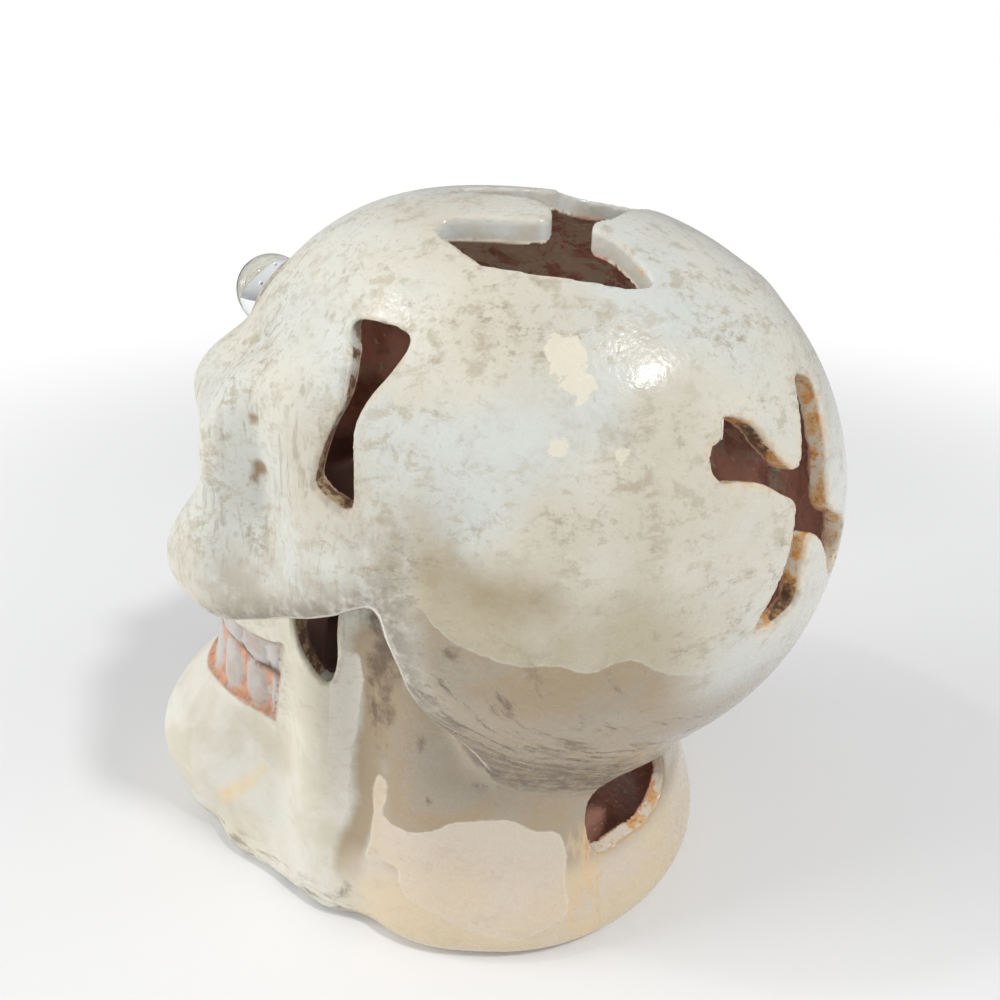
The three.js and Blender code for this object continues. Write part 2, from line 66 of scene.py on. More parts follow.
view = {
    "place": (0.1967, 0.0482, 0.2174),
    "heading": 190,  # degrees round from +X
    "pitch": -27,
    "lens": 27,
}

stage = {
    "floorSize": 8,
    "floorShade": (0.84, 0.84, 0.84),
    "floorFade": (0.28, 0.75),  # metres from the middle over which the floor turns white
    "skyShade": (0.97, 0.98, 1.0),
    "skyLevel": 0.38,
    "lamps": [
        # name, place, width, power, shows in the glaze
        ("keySoftbox", (0.338, 0.596, 1.095), 0.12, 5.2, True),
        ("browSoftbox", (0.19, -0.56, 1.06), 0.05, 0.9, True),
        ("sideFill", (1.3, 0.1, 0.55), 1.0, 2.3, False),
        ("rearFill", (0.15, 1.1, 1.0), 0.8, 3.6, False),
        ("faceFill", (0.35, -1.4, 0.6), 0.8, 15.0, False),
    ],
}


def onlySelect(*objects):
    for other in bpy.context.selected_objects:
        other.select_set(False)
    for thing in objects:
        thing.select_set(True)
    bpy.context.view_layer.objects.active = objects[0]


def deselectAll():
    for other in list(bpy.context.selected_objects):
        other.select_set(False)


def applyModifiers(thing):
    onlySelect(thing)
    for modifier in list(thing.modifiers):
        bpy.ops.object.modifier_apply(modifier=modifier.name)


def applyPlace(thing):
    onlySelect(thing)
    bpy.ops.object.transform_apply(location=True, rotation=True, scale=True)


def addCamera():
    heading, pitch = math.radians(view["heading"]), math.radians(view["pitch"])
    look = Vector((
        math.cos(heading) * math.cos(pitch),
        math.sin(heading) * math.cos(pitch),
        math.sin(pitch),
    ))
    deselectAll()
    bpy.ops.object.camera_add(location=view["place"])
    camera = bpy.context.object
    camera.name = "photoCamera"
    camera.rotation_euler = look.to_track_quat("-Z", "Y").to_euler()
    camera.data.lens = view["lens"]
    camera.data.sensor_width = 36
    camera.data.clip_start = 0.005
    bpy.context.scene.camera = camera


def addSoftbox(name, place, size, power, shows):
    deselectAll()
    bpy.ops.object.light_add(type="AREA", location=place)
    lamp = bpy.context.object
    lamp.name = name
    lamp.data.shape = "DISK"
    lamp.data.size = size
    lamp.data.energy = power
    lamp.visible_glossy = shows
    aim = Vector((0, 0, 0.1)) - Vector(place)
    lamp.rotation_euler = aim.to_track_quat("-Z", "Y").to_euler()


addCamera()
print("camera placed")


# Small helpers for node trees

class Maker:
    # One material and its nodes, with short names for what is used most

    def __init__(self, name):
        self.material = bpy.data.materials.new(name)
        self.material.use_nodes = True
        self.tree = self.material.node_tree
        self.shader = self.tree.nodes["Principled BSDF"]
        self.output = self.tree.nodes["Material Output"]
        self.place = self.tree.nodes.new("ShaderNodeTexCoord").outputs["Object"]

    def node(self, kind, **settings):
        made = self.tree.nodes.new(kind)
        for key, value in settings.items():
            setattr(made, key, value)
        return made

    def join(self, source, target):
        self.tree.links.new(source, target)

    def put(self, socket, value):
        if hasattr(value, "is_output"):
            self.join(value, socket)
        elif hasattr(value, "__len__") and len(value) == 3 and socket.type == "RGBA":
            socket.default_value = (*value, 1)
        else:
            socket.default_value = value

    def noise(self, scale, detail=4, roughness=0.55, stretch=(1, 1, 1), turn=(0, 0, 0), warp=0,
              shift=(0, 0, 0), along=None):
        mapping = self.node("ShaderNodeMapping")
        self.join(along or self.place, mapping.inputs["Vector"])
        mapping.inputs["Scale"].default_value = stretch
        mapping.inputs["Rotation"].default_value = [math.radians(a) for a in turn]
        mapping.inputs["Location"].default_value = shift
        texture = self.node("ShaderNodeTexNoise")
        self.join(mapping.outputs[0], texture.inputs["Vector"])
        texture.inputs["Scale"].default_value = scale
        texture.inputs["Detail"].default_value = detail
        texture.inputs["Roughness"].default_value = roughness
        texture.inputs["Distortion"].default_value = warp
        return texture.outputs["Fac"]

    def step(self, value, low, high, bottom=0.0, top=1.0):
        ranged = self.node("ShaderNodeMapRange", interpolation_type="SMOOTHSTEP")
        self.put(ranged.inputs["Value"], value)
        ranged.inputs["From Min"].default_value = low
        ranged.inputs["From Max"].default_value = high
        ranged.inputs["To Min"].default_value = bottom
        ranged.inputs["To Max"].default_value = top
        return ranged.outputs[0]

    def math(self, kind, a, b=0.0):
        made = self.node("ShaderNodeMath", operation=kind)
        self.put(made.inputs[0], a)
        self.put(made.inputs[1], b)
        return made.outputs[0]

    def times(self, *values):
        product = values[0]
        for value in values[1:]:
            product = self.math("MULTIPLY", product, value)
        return product

    def mix(self, factor, a, b, kind="MIX"):
        made = self.node("ShaderNodeMix", data_type="RGBA", blend_type=kind)
        self.put(made.inputs["Factor"], factor)
        self.put(made.inputs[6], a)
        self.put(made.inputs[7], b)
        return made.outputs[2]

    def over(self, ground, colour, *masks):
        # The ground with a colour laid over it, as strongly as the masks' product
        return self.mix(self.times(*masks), ground, colour)

    def attribute(self, name, output="Fac"):
        return self.node("ShaderNodeAttribute", attribute_name=name).outputs[output]

    def axis(self, letter):
        split = self.node("ShaderNodeSeparateXYZ")
        self.join(self.place, split.inputs[0])
        return split.outputs[letter]

    def bump(self, height, strength, distance, before=None):
        made = self.node("ShaderNodeBump")
        made.inputs["Strength"].default_value = strength
        made.inputs["Distance"].default_value = distance
        self.put(made.inputs["Height"], height)
        if before is not None:
            self.join(before, made.inputs["Normal"])
        return made.outputs[0]

    def set(self, **values):
        for key, value in values.items():
            self.put(self.shader.inputs[key.replace("_", " ")], value)


def wear(piece, maker):
    piece.data.materials.clear()
    piece.data.materials.append(maker.material)


# The skull's skin as a distance, in millimetres, with the foot at height 0

skull = {
    "lift": 1.1,  # the foot stands this high, on its pads
    "wall": 5,
    "footRounding": 7,
    "footHole": (0, 2, 36),
    "footHoleDepth": 30,
    "skinStages": [(0.004, 5), (0.0034, 4), (0.0027, 3), (0.0021, 3)],  # voxel, then rounds of settling
    "fineVoxel": 0.00104,
    # rounds of settling and the reach of each round
    "skinReach": 2.5,
    "hollowSettle": (8, 2),
    "fineSettle": (4, 0.9),
    "thinSettle": (2, 0.3),
    "triangles": 192000,
    "rim": 1.0,
    "innerRim": 0.5,
    "seamBlend": 4,
    "napeBlend": 16,
    "napeReach": 50,
    "chinBlend": 14,
    # where the wider join at the chin starts, and over what length it fades in
    "chinSide": (34, 14),
    "chinFront": (-50, 16),
    "cheekEdge": (-52.5, 102, 0.345),  # place, height and rise of the slanted edge
    "cornerRise": [(-60, 0), (-33, 0.3), (-20, 1.2), (-11, 2.4), (-6, 3.8), (0, 4.6), (10, 4.6)],
    "crease": [(60, 22), (72, 17.5), (80, 13.5), (86, 9.5), (93, 5.4), (100, 2.9), (107, 1.9),
               (115, 0.7), (126, -1.2)],
    "creaseSlope": 0.9,  # the crease leans, so it is nearer than it is along Y
    "groove": ((55, -31, 168), (56.5, -30.5, 138), 4, 0.5),  # start, end, reach and depth beside the eye
}

headForms = [
    # kind, then centre and radii or start, end and radii, then the width of the join
    ("round", (0, -8.5, 124), (60, 54.5, 72), 22),
    ("bar", (0, -49.5, 150), (24, -49.5, 153), 8, 8, 14),
    ("bar", (24, -49.5, 153), (47, -34.5, 151), 8, 9, 14),
    ("bar", (48, -34.5, 150), (47, -42.5, 128), 9.5, 9.5, 12),
    ("round", (42, -44.5, 117), (19, 21, 15.5), 12),
    ("bar", (46, -36.5, 114), (58, -2.5, 123), 11.5, 11.5, 16),
    ("bar", (0, -51.5, 152), (0, -64.5, 131), 7.5, 7.5, 12),
    ("round", (0, -42.5, 112), (36, 35, 20), 14),
    ("bar", (48, -20.5, 156), (50, -16.5, 132), 9.5, 9.5, 18),
]
cranium = ((0, 26.5, 120), (74.5, 81, 80))
templeGroove = ((70, -33.5, 150), (13, 8, 26), 12)
eyeSocket = ((24.5, -72.8, 135), (16, 24, 15), 12)

neckForm = {
    "centre": 13.5,
    "radius": 67.5,
    "profile": [(0, 1), (8, 1), (28, 0.911), (55, 0.837), (90, 0.8), (140, 0.8)],
}
jawForm = {
    "centre": -63.5,
    "radius": 44,
    "profile": [(0, 0.909), (10, 0.943), (27, 1), (38, 0.966), (47, 0.886), (57, 0.852),
                (68, 0.807), (100, 0.761), (140, 0.68)],
    "places": [(0, 1), (27, 1), (38, 0.936), (47, 0.856), (57, 0.744), (100, 0.712), (140, 0.68)],
    "overlap": 15,
    "topBlend": 8,
}
jawBars = [
    ((47, -23.5, 112), (43, -26.5, 0), 9, 16.5, 9),
    ((44, 1.5, 100), (46, 1.5, 0), 11, 15, 16),
    ((36, -60, 0), (43, -26.5, 0), 12.5, 16.5, 9),
]
dents = [
    # place, reach and depth of small pits in the cast
    ((55.7, -31.2, 158.2), 2.0, 0.45),
    ((56.3, -31, 146.6), 2.3, 0.5),
]

teeth = {
    # pairs are height and degrees forward from the side, or degrees and height
    "centre": -46.5,
    "radius": 36,
    "rearEnd": [(50, 3.5), (54, 2), (69.7, -1.8), (82.5, -6), (90, -8)],
    "edges": [6, 24, 45, 66, 90],
    "bottom": [(2, 54.1), (22, 55.4), (37, 55.8), (49, 55.1), (67, 52.6), (90, 52)],
    "bite": [(-2, 69.7), (14, 70.4), (25, 73.5), (45, 75), (90, 76.5)],
    "gum": [(-6, 82.4), (4, 81), (23, 82.4), (60, 88), (90, 90)],
    "recess": 1.7,
    "bulge": 1.3,
    "lowerShape": (2.4, 0.86),  # how square a tooth is, and its share of its place
    "upperShape": (5, 0.97),
    "panelEdge": (0, 1.2),
    "bulgeEdge": (0.2, 1.6),
}


def roundForm(p, centre, radii):
    q = (p - centre) / radii
    inner = np.linalg.norm(q, axis=1)
    slope = np.linalg.norm(q / radii, axis=1)
    return inner * (inner - 1) / np.maximum(slope, 1e-9)


def barForm(p, start, end, startRadius, endRadius):
    start, end = np.array(start, float), np.array(end, float)
    along = end - start
    share = np.clip((p - start) @ along / (along @ along), 0, 1)
    gap = np.linalg.norm(p - start - share[:, None] * along, axis=1)
    return gap - startRadius - (endRadius - startRadius) * share


def melt(a, b, width):
    overlap = np.maximum(width - np.abs(a - b), 0) / width
    return np.minimum(a, b) - overlap ** 2 * width / 4


def cut(a, b, width):
    return -melt(-a, b, width)


def ease(value, low, high):
    share = np.clip((value - low) / (high - low), 0, 1)
    return share * share * (3 - 2 * share)


def curveThrough(pairs, at):
    heights = np.array([pair[0] for pair in pairs], float)
    values = np.array([pair[1] for pair in pairs], float)
    slopes = np.empty_like(values)
    slopes[1:-1] = (values[2:] - values[:-2]) / (heights[2:] - heights[:-2])
    slopes[0] = (values[1] - values[0]) / (heights[1] - heights[0])
    slopes[-1] = (values[-1] - values[-2]) / (heights[-1] - heights[-2])
    at = np.clip(at, heights[0], heights[-1])
    i = np.clip(np.searchsorted(heights, at, side="right") - 1, 0, len(heights) - 2)
    gap = heights[i + 1] - heights[i]
    t = (at - heights[i]) / gap
    rise = t * t * (3 - 2 * t)
    leave = t * (1 - t) ** 2 * gap * slopes[i]
    arrive = t * t * (t - 1) * gap * slopes[i + 1]
    return values[i] + (values[i + 1] - values[i]) * rise + leave + arrive


def headSkin(p):
    d = roundForm(p, *cranium)
    for kind, *sizes, width in headForms:
        d = melt(d, roundForm(p, *sizes) if kind == "round" else barForm(p, *sizes), width)
    d = cut(d, roundForm(p, *templeGroove[:2]), templeGroove[2])
    return cut(d, roundForm(p, *eyeSocket[:2]), eyeSocket[2])


def overCheekEdge(p):
    place, height, rise = skull["cheekEdge"]
    edge = height + (p[:, 1] - place) * rise + curveThrough(skull["cornerRise"], p[:, 1])
    return (p[:, 2] - edge) / math.hypot(1, rise)


def underCheek(p):
    # Negative below the slanted cheek edge and in front of the crease
    below = overCheekEdge(p)
    ahead = (p[:, 1] - curveThrough(skull["crease"], p[:, 2])) * skull["creaseSlope"]
    return -melt(-below, -ahead, skull["seamBlend"])


def jawSkin(p):
    x, ahead = p[:, 0], neckForm["centre"] - p[:, 1]
    neckRadius = neckForm["radius"] * curveThrough(neckForm["profile"], p[:, 2])
    jawRadius = jawForm["radius"] * curveThrough(jawForm["profile"], p[:, 2])
    reach = neckForm["centre"] - jawForm["centre"] * curveThrough(jawForm["places"], p[:, 2])
    taper = (neckRadius - jawRadius) / reach
    square = np.sqrt(1 - taper ** 2)
    along = square * ahead - taper * x
    d = square * x + taper * ahead - neckRadius
    d = np.where(along < 0, np.hypot(x, ahead) - neckRadius, d)
    d = np.where(along > square * reach, np.hypot(x, ahead - reach) - jawRadius, d)
    for start, end, startRadius, endRadius, width in jawBars:
        d = melt(d, barForm(p, start, end, startRadius, endRadius), width)
    return -melt(-d, jawForm["overlap"] - overCheekEdge(p), jawForm["topBlend"])


def plainSkin(p):
    # p is folded to the side of +X
    head = cut(headSkin(p), underCheek(p), skull["seamBlend"])
    (side, sideFade), (front, frontFade) = skull["chinSide"], skull["chinFront"]
    chin = np.clip((side - p[:, 0]) / sideFade, 0, 1) * np.clip((front - p[:, 1]) / frontFade, 0, 1)
    nape = np.clip(p[:, 1] / skull["napeReach"], 0, 1)
    width = skull["seamBlend"] + skull["napeBlend"] * nape + skull["chinBlend"] * chin
    d = melt(head, jawSkin(p), width)
    return -melt(-d, p[:, 2], skull["footRounding"])


def toothPlaces(p):
    # How deep each point lies in the tooth panel, how far from the middle of its tooth, and over the bite
    angle = np.degrees(np.arctan2(teeth["centre"] - p[:, 1], p[:, 0]))
    z = p[:, 2]
    end = curveThrough(teeth["rearEnd"], z)
    bottom, bite, gum = (curveThrough(teeth[name], angle) for name in ("bottom", "bite", "gum"))
    edges = np.array(teeth["edges"], float)
    i = np.minimum(np.searchsorted(edges, angle, side="right") - 1, len(edges) - 2)
    rear = np.where(i < 0, end, edges[np.maximum(i, 0)])
    ahead = edges[i + 1]
    lower = z < bite
    low = np.where(lower, bottom, bite)
    high = np.where(lower, bite, gum)
    u = 2 * (angle - rear) / (ahead - rear) - 1
    v = 2 * (z - low) / (high - low) - 1
    mm = teeth["radius"] * math.pi / 180
    inset = np.minimum((angle - end) * mm, np.minimum(z - bottom, gum - z))
    power, share = (np.where(lower, *pair) for pair in zip(teeth["lowerShape"], teeth["upperShape"]))
    gone = (np.abs(u) ** power + np.abs(v) ** power) ** (1 / power) / share
    return inset, gone, z - bite


def toothRelief(p):
    inset, gone, overBite = toothPlaces(p)
    bulge = teeth["bulge"] * np.sqrt(np.clip(1 - gone ** 2, 0, 1))
    return ease(inset, *teeth["panelEdge"]) * (teeth["recess"] - bulge * ease(inset, *teeth["bulgeEdge"]))


def castMarks(p):
    # Small pits and a soft groove beside the eye
    start, end, reach, depth = skull["groove"]
    marks = depth * np.exp(-(barForm(p, start, end, 0, 0) / reach) ** 2)
    for place, reach, depth in dents:
        marks += depth * np.exp(-((p - place) ** 2).sum(1) / reach ** 2)
    return marks


# Outlines of the openings, as shares of each one's size, across then up

outlines = {
    "temple": [(-0.18, 0.5), (0.13, 0.5), (0.49, 0.45), (0.5, 0.4), (0.34, 0.27), (0.07, 0.1),
               (-0.05, -0.05), (-0.03, -0.3), (-0.05, -0.5), (-0.25, -0.48), (-0.5, -0.38),
               (-0.49, -0.31), (-0.35, -0.08), (-0.19, 0.1), (-0.18, 0.32), (-0.26, 0.46)],
    "rear": [(-0.39, 0.44), (-0.42, 0.37), (-0.48, 0.34), (-0.5, 0.26), (-0.47, 0.21), (-0.38, 0.19),
             (-0.29, 0.16), (-0.19, 0.09), (-0.11, 0.03), (-0.12, -0.06), (-0.2, -0.27),
             (-0.32, -0.47), (-0.31, -0.5), (-0.18, -0.48), (-0.07, -0.43), (-0.07, -0.28),
             (-0.02, -0.14), (0.07, -0.18), (0.18, -0.31), (0.28, -0.44), (0.44, -0.45),
             (0.5, -0.36), (0.38, -0.2), (0.2, -0.1), (0.16, -0.03), (0.22, 0.23), (0.26, 0.39),
             (0.25, 0.46), (0.12, 0.5), (0.07, 0.41), (0.02, 0.28), (-0.04, 0.17), (-0.09, 0.16),
             (-0.14, 0.2), (-0.21, 0.29), (-0.28, 0.4)],
    "crown": [(0.32, -0.5), (0.39, -0.41), (0.47, -0.26), (0.49, -0.05), (0.49, 0.17), (0.47, 0.37),
              (0.42, 0.45), (0.34, 0.37), (0.28, 0.28), (0.24, 0.18), (0.18, 0.18), (0.1, 0.26),
              (-0.03, 0.32), (-0.17, 0.4), (-0.32, 0.5), (-0.38, 0.48), (-0.47, 0.34), (-0.5, 0.17),
              (-0.47, 0.03), (-0.37, -0.05), (-0.25, -0.05), (-0.15, -0.15), (-0.1, -0.34),
              (-0.07, -0.48), (-0.02, -0.46), (0, -0.28), (0.05, -0.09), (0.13, -0.02),
              (0.22, -0.04), (0.24, -0.19), (0.24, -0.4), (0.26, -0.49)],
    "neck": [(-0.5, -0.46), (-0.49, 0.37), (-0.25, 0.5), (0.27, 0.26), (0.5, -0.27), (0.36, -0.42),
             (0.11, -0.5), (-0.19, -0.48)],
    "jaw": [(-0.48, 0.5), (-0.5, -0.05), (-0.2, -0.3), (0.2, -0.5), (0.42, -0.3), (0.5, 0.05), (0.5, 0.5)],
    "eye": [(-0.42, 0.28), (-0.12, 0.46), (0.24, 0.47), (0.47, 0.24), (0.5, -0.1), (0.33, -0.41),
            (0, -0.5), (-0.34, -0.38), (-0.5, -0.05)],
    "nose": [(0, 0.5), (0.17, 0.34), (0.33, 0), (0.5, -0.3), (0.36, -0.5), (0.12, -0.42),
             (0, -0.28), (-0.12, -0.42), (-0.36, -0.5), (-0.5, -0.3), (-0.33, 0), (-0.17, 0.34)],
}

openings = {
    # width and height, centre, the way it faces, its upward side, reach in and out, both sides
    "temple": ((17.8, 34), (58.7, -4.9, 161.4), (1, 0, 0), (0, 0, 1), 26, 26, True),
    "rear": ((52, 52.4), (40, 87.5, 141.1), (0.62, 0.74, 0.26), (0, 0, 1), 26, 26, True),
    "crown": ((60, 49), (9.75, 29.5, 194), (0, 0, 1), (0, 1, 0), 24, 24, False),
    "neck": ((33, 29), (36.4, 61, 42.4), (0.64, 0.77, 0), (0, 0, 1), 26, 26, True),
    "jaw": ((10.5, 26), (54.75, -23.6, 99.6), (1, 0, 0), (0, 0, 1), 26, 5, True),
    "eye": ((29.4, 25.4), (25.9, -56.7, 136.4), (0, -1, 0), (0, 0, 1), 34, 60, True),
    "nose": ((20, 25), (0, -64.2, 117.4), (0, -1, 0), (0, 0, 1), 26, 60, False),
}
farOpenings = {
    # Cut by hand, so they lie a little differently on the skull's right side:
    # the shift across and up, and how much smaller
    "temple": ((-2, -4.5), 0),
    "rear": ((-7, 0), 2.6),
}


def outlineCurve(shares, size, samples):
    # A closed smooth curve through the shares, evenly eased between near and far points
    knots = np.array(shares, float) * np.array(size, float)
    points = []
    for i in range(len(knots)):
        p0, p1, p2, p3 = (knots[(i + k) % len(knots)] for k in (-1, 0, 1, 2))
        s0, s1, s2 = (math.sqrt(np.linalg.norm(b - a)) for a, b in ((p0, p1), (p1, p2), (p2, p3)))
        leave = ((p1 - p0) / s0 - (p2 - p0) / (s0 + s1) + (p2 - p1) / s1) * s1
        arrive = ((p2 - p1) / s1 - (p3 - p1) / (s1 + s2) + (p3 - p2) / s2) * s1
        for t in np.arange(samples) / samples:
            points.append(p1 * (1 + 2 * t) * (1 - t) ** 2 + p2 * t * t * (3 - 2 * t)
                          + leave * t * (1 - t) ** 2 + arrive * t * t * (t - 1))
    return np.array(points)


def outlineGrid(curve, margin=14, pitch=0.5):
    # Signed distance to the outline on a fine grid, negative inside
    low = curve.min(0) - margin
    counts = np.ceil((curve.max(0) + margin - low) / pitch).astype(int) + 1
    across, up = np.meshgrid(np.arange(counts[0]), np.arange(counts[1]), indexing="ij")
    spots = np.stack([across, up], -1).reshape(-1, 2) * pitch + low
    ends = np.roll(curve, -1, axis=0)
    nearest = np.full(len(spots), 1e9)
    inside = np.zeros(len(spots), bool)
    for a, b in zip(curve, ends):
        along = b - a
        share = np.clip((spots - a) @ along / max(along @ along, 1e-12), 0, 1)
        nearest = np.minimum(nearest, np.linalg.norm(spots - a - share[:, None] * along, axis=1))
        crosses = (a[1] > spots[:, 1]) != (b[1] > spots[:, 1])
        if abs(along[1]) > 1e-12:
            inside ^= crosses & (spots[:, 0] < a[0] + (spots[:, 1] - a[1]) / along[1] * along[0])
    return low, pitch, np.where(inside, -nearest, nearest).reshape(counts)


def readGrid(grid, spots):
    low, pitch, values = grid
    q = (spots - low) / pitch
    q = np.clip(q, 0, np.array(values.shape) - 1.001)
    i = q.astype(int)
    f = q - i
    bottom = values[i[:, 0], i[:, 1]] * (1 - f[:, 0]) + values[i[:, 0] + 1, i[:, 1]] * f[:, 0]
    top = values[i[:, 0], i[:, 1] + 1] * (1 - f[:, 0]) + values[i[:, 0] + 1, i[:, 1] + 1] * f[:, 0]
    return bottom * (1 - f[:, 1]) + top * f[:, 1]


def openingAxes(facing, upward):
    z = np.array(facing, float)
    z /= np.linalg.norm(z)
    x = np.cross(upward, z)
    x /= np.linalg.norm(x)
    return np.array([x, np.cross(z, x), z])


holes = {}
for name, (size, centre, facing, upward, inside, outside, paired) in openings.items():
    curve = outlineCurve(outlines[name], size, 6)
    axes = openingAxes(facing, upward)
    (farAcross, farUp), farTrim = farOpenings.get(name, ((0, 0), 0))
    holes[name] = {
        "curve": curve,
        "grid": outlineGrid(curve),
        "centre": np.array(centre, float),
        "axes": axes,
        "span": (-inside, outside),
        "paired": paired,
        "farShift": farAcross * axes[0] + farUp * axes[1],
        "farTrim": farTrim,
    }
print("outlines drawn")


def folded(p):
    side = p.copy()
    side[:, 0] = np.abs(side[:, 0])
    return side


def holeDistance(hole, p):
    far = (p[:, 0] < 0) & hole["paired"]
    side = folded(p) if hole["paired"] else p
    q = (side - hole["centre"] - far[:, None] * hole["farShift"]) @ hole["axes"].T
    low, high = hole["span"]
    across = readGrid(hole["grid"], q[:, :2]) + far * hole["farTrim"]
    return np.maximum(across, np.maximum(low - q[:, 2], q[:, 2] - high))


ballLow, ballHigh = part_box("forehead_ball")
ballMiddle = np.array((ballLow + ballHigh) / 2) * thousand - np.array([0, 0, skull["lift"]])
ball = {"radius": 10, "seat": 10.8, "seatRim": 1.2}


def shellDistance(p):
    side = folded(p)
    plain = plainSkin(side)
    d = plain + toothRelief(side) + castMarks(side)
    for hole in holes.values():
        d = cut(d, holeDistance(hole, p), skull["rim"])
    x, y, radius = skull["footHole"]
    drum = np.maximum(np.hypot(p[:, 0] - x, p[:, 1] - y) - radius, p[:, 2] - skull["footHoleDepth"])
    d = cut(d, drum, skull["rim"])
    d = cut(d, np.linalg.norm(p - ballMiddle, axis=1) - ball["seat"], ball["seatRim"])
    return cut(d, plain + skull["wall"], skull["innerRim"])


def outerDistance(p):
    return plainSkin(folded(p))


def hollowDistance(p):
    return plainSkin(folded(p)) + skull["wall"]


def readPoints(thing):
    flat = np.empty(len(thing.data.vertices) * 3)
    thing.data.vertices.foreach_get("co", flat)
    return flat.reshape(-1, 3) * thousand - np.array([0, 0, skull["lift"]])


def writePoints(thing, p):
    flat = (p + np.array([0, 0, skull["lift"]])) / thousand
    thing.data.vertices.foreach_set("co", flat.ravel())
    thing.data.update()


def slopeOf(distance, p, d, h=0.06):
    slope = np.empty_like(p)
    for axis in range(3):
        q = p.copy()
        q[:, axis] += h
        slope[:, axis] = (distance(q) - d) / h
    return slope


def settle(thing, distance, rounds, reach):
    # Moves every point along the slope until it lies on the surface
    p = readPoints(thing)
    for _ in range(rounds):
        d = distance(p)
        slope = slopeOf(distance, p, d)
        steep = np.maximum((slope ** 2).sum(1), 0.3)
        p -= slope * np.clip(d / steep, -reach, reach)[:, None]
    writePoints(thing, p)


# Rough body from primitives, in millimetres as above

roughRounds = [
    ((0, 26.5, 120), (72, 78, 77)),
    ((0, -8.5, 124), (58, 52, 70)),
    ((0, -38, 120), (56, 32, 27)),
]
roughDrums = [
    # centre, radius and height
    ((0, 13.5, 50), 58, 100),
    ((0, -24, 50), 48, 100),
    ((0, -60, 26), 41, 52),
    ((0, -46, 70), 33, 60),
]


def remesh(thing, size):
    modifier = thing.modifiers.new("evenFaces", "REMESH")
    modifier.mode = "VOXEL"
    modifier.voxel_size = size
    applyModifiers(thing)


def roughBody():
    pieces = []
    for centre, radii in roughRounds:
        deselectAll()
        place = Vector(centre) + Vector((0, 0, skull["lift"]))
        bpy.ops.mesh.primitive_uv_sphere_add(segments=64, ring_count=32, radius=1, location=place / thousand)
        bpy.ops.transform.resize(value=[r / thousand for r in radii])
        pieces.append(bpy.context.object)
    for centre, radius, height in roughDrums:
        deselectAll()
        place = Vector(centre) + Vector((0, 0, skull["lift"]))
        bpy.ops.mesh.primitive_cylinder_add(
            vertices=64, radius=radius / thousand, depth=height / thousand, location=place / thousand)
        pieces.append(bpy.context.object)
    onlySelect(*pieces)
    bpy.ops.object.join()
    body = bpy.context.object
    body.name = "skullBody"
    applyPlace(body)
    for size, rounds in skull["skinStages"]:
        remesh(body, size)
        settle(body, outerDistance, rounds, skull["skinReach"])
    return body


def openingCutter(name, hole):
    count = len(hole["curve"])
    deselectAll()
    bpy.ops.mesh.primitive_circle_add(vertices=count, radius=1, fill_type="NGON")
    punch = bpy.context.object
    punch.name = name + "Punch"
    low, high = hole["span"]
    for vertex, spot in zip(punch.data.vertices, hole["curve"]):
        vertex.co = (*spot, low)
    bpy.ops.object.mode_set(mode="EDIT")
    bpy.ops.mesh.select_all(action="SELECT")
    bpy.ops.mesh.extrude_region_move(TRANSFORM_OT_translate={"value": (0, 0, high - low)})
    bpy.ops.mesh.select_all(action="SELECT")
    bpy.ops.mesh.normals_make_consistent(inside=False)
    bpy.ops.object.mode_set(mode="OBJECT")
    turn = Matrix(hole["axes"].T.tolist()).to_4x4()
    place = Vector(hole["centre"]) + Vector((0, 0, skull["lift"]))
    punch.data.transform(Matrix.Scale(1 / thousand, 4) @ Matrix.Translation(place) @ turn)
    cutters = [punch]
    if hole["paired"]:
        onlySelect(punch)
        bpy.ops.object.duplicate()
        twin = bpy.context.object
        twin.data.transform(Matrix.Translation(Vector(hole["farShift"]) / thousand))
        twin.data.transform(Matrix.Scale(-1, 4, (1, 0, 0)))
        twin.data.flip_normals()
        cutters.append(twin)
    return cutters


def subtract(body, cutter):
    modifier = body.modifiers.new("opening", "BOOLEAN")
    modifier.operation = "DIFFERENCE"
    modifier.solver = "MANIFOLD"
    modifier.object = cutter
    applyModifiers(body)
    bpy.data.objects.remove(cutter)


def carvedShell():
    body = roughBody()
    print("rough body:", len(body.data.polygons), "faces")
    onlySelect(body)
    bpy.ops.object.duplicate()
    hollow = bpy.context.object
    settle(hollow, hollowDistance, *skull["hollowSettle"])
    subtract(body, hollow)
    for name, hole in holes.items():
        for cutter in openingCutter(name, hole):
            subtract(body, cutter)
    x, y, radius = skull["footHole"]
    deselectAll()
    bpy.ops.mesh.primitive_cylinder_add(
        vertices=96, radius=radius / thousand, depth=0.05, location=(x / thousand, y / thousand, 0))
    drum = bpy.context.object
    applyPlace(drum)
    subtract(body, drum)
    deselectAll()
    middle = ballMiddle + np.array([0, 0, skull["lift"]])
    bpy.ops.mesh.primitive_uv_sphere_add(
        segments=48, ring_count=24, radius=ball["seat"] / thousand, location=middle / thousand)
    seat = bpy.context.object
    applyPlace(seat)
    subtract(body, seat)
    print("openings cut:", len(body.data.polygons), "faces")
    remesh(body, skull["fineVoxel"])
    settle(body, shellDistance, *skull["fineSettle"])
    print("fine shell:", len(body.data.polygons), "faces")
    thin = body.modifiers.new("thinning", "DECIMATE")
    thin.ratio = min(1, skull["triangles"] / (2 * len(body.data.polygons)))
    applyModifiers(body)
    settle(body, shellDistance, *skull["thinSettle"])
    print("thinned shell:", len(body.data.polygons), "faces")
    return body


shell = carvedShell()
shell.name = "glazedSkull"
shell.data.name = "glazedSkull"


def storeValue(thing, name, values):
    layer = thing.data.attributes.new(name, "FLOAT", "POINT")
    layer.data.foreach_set("value", np.asarray(values, np.float32))


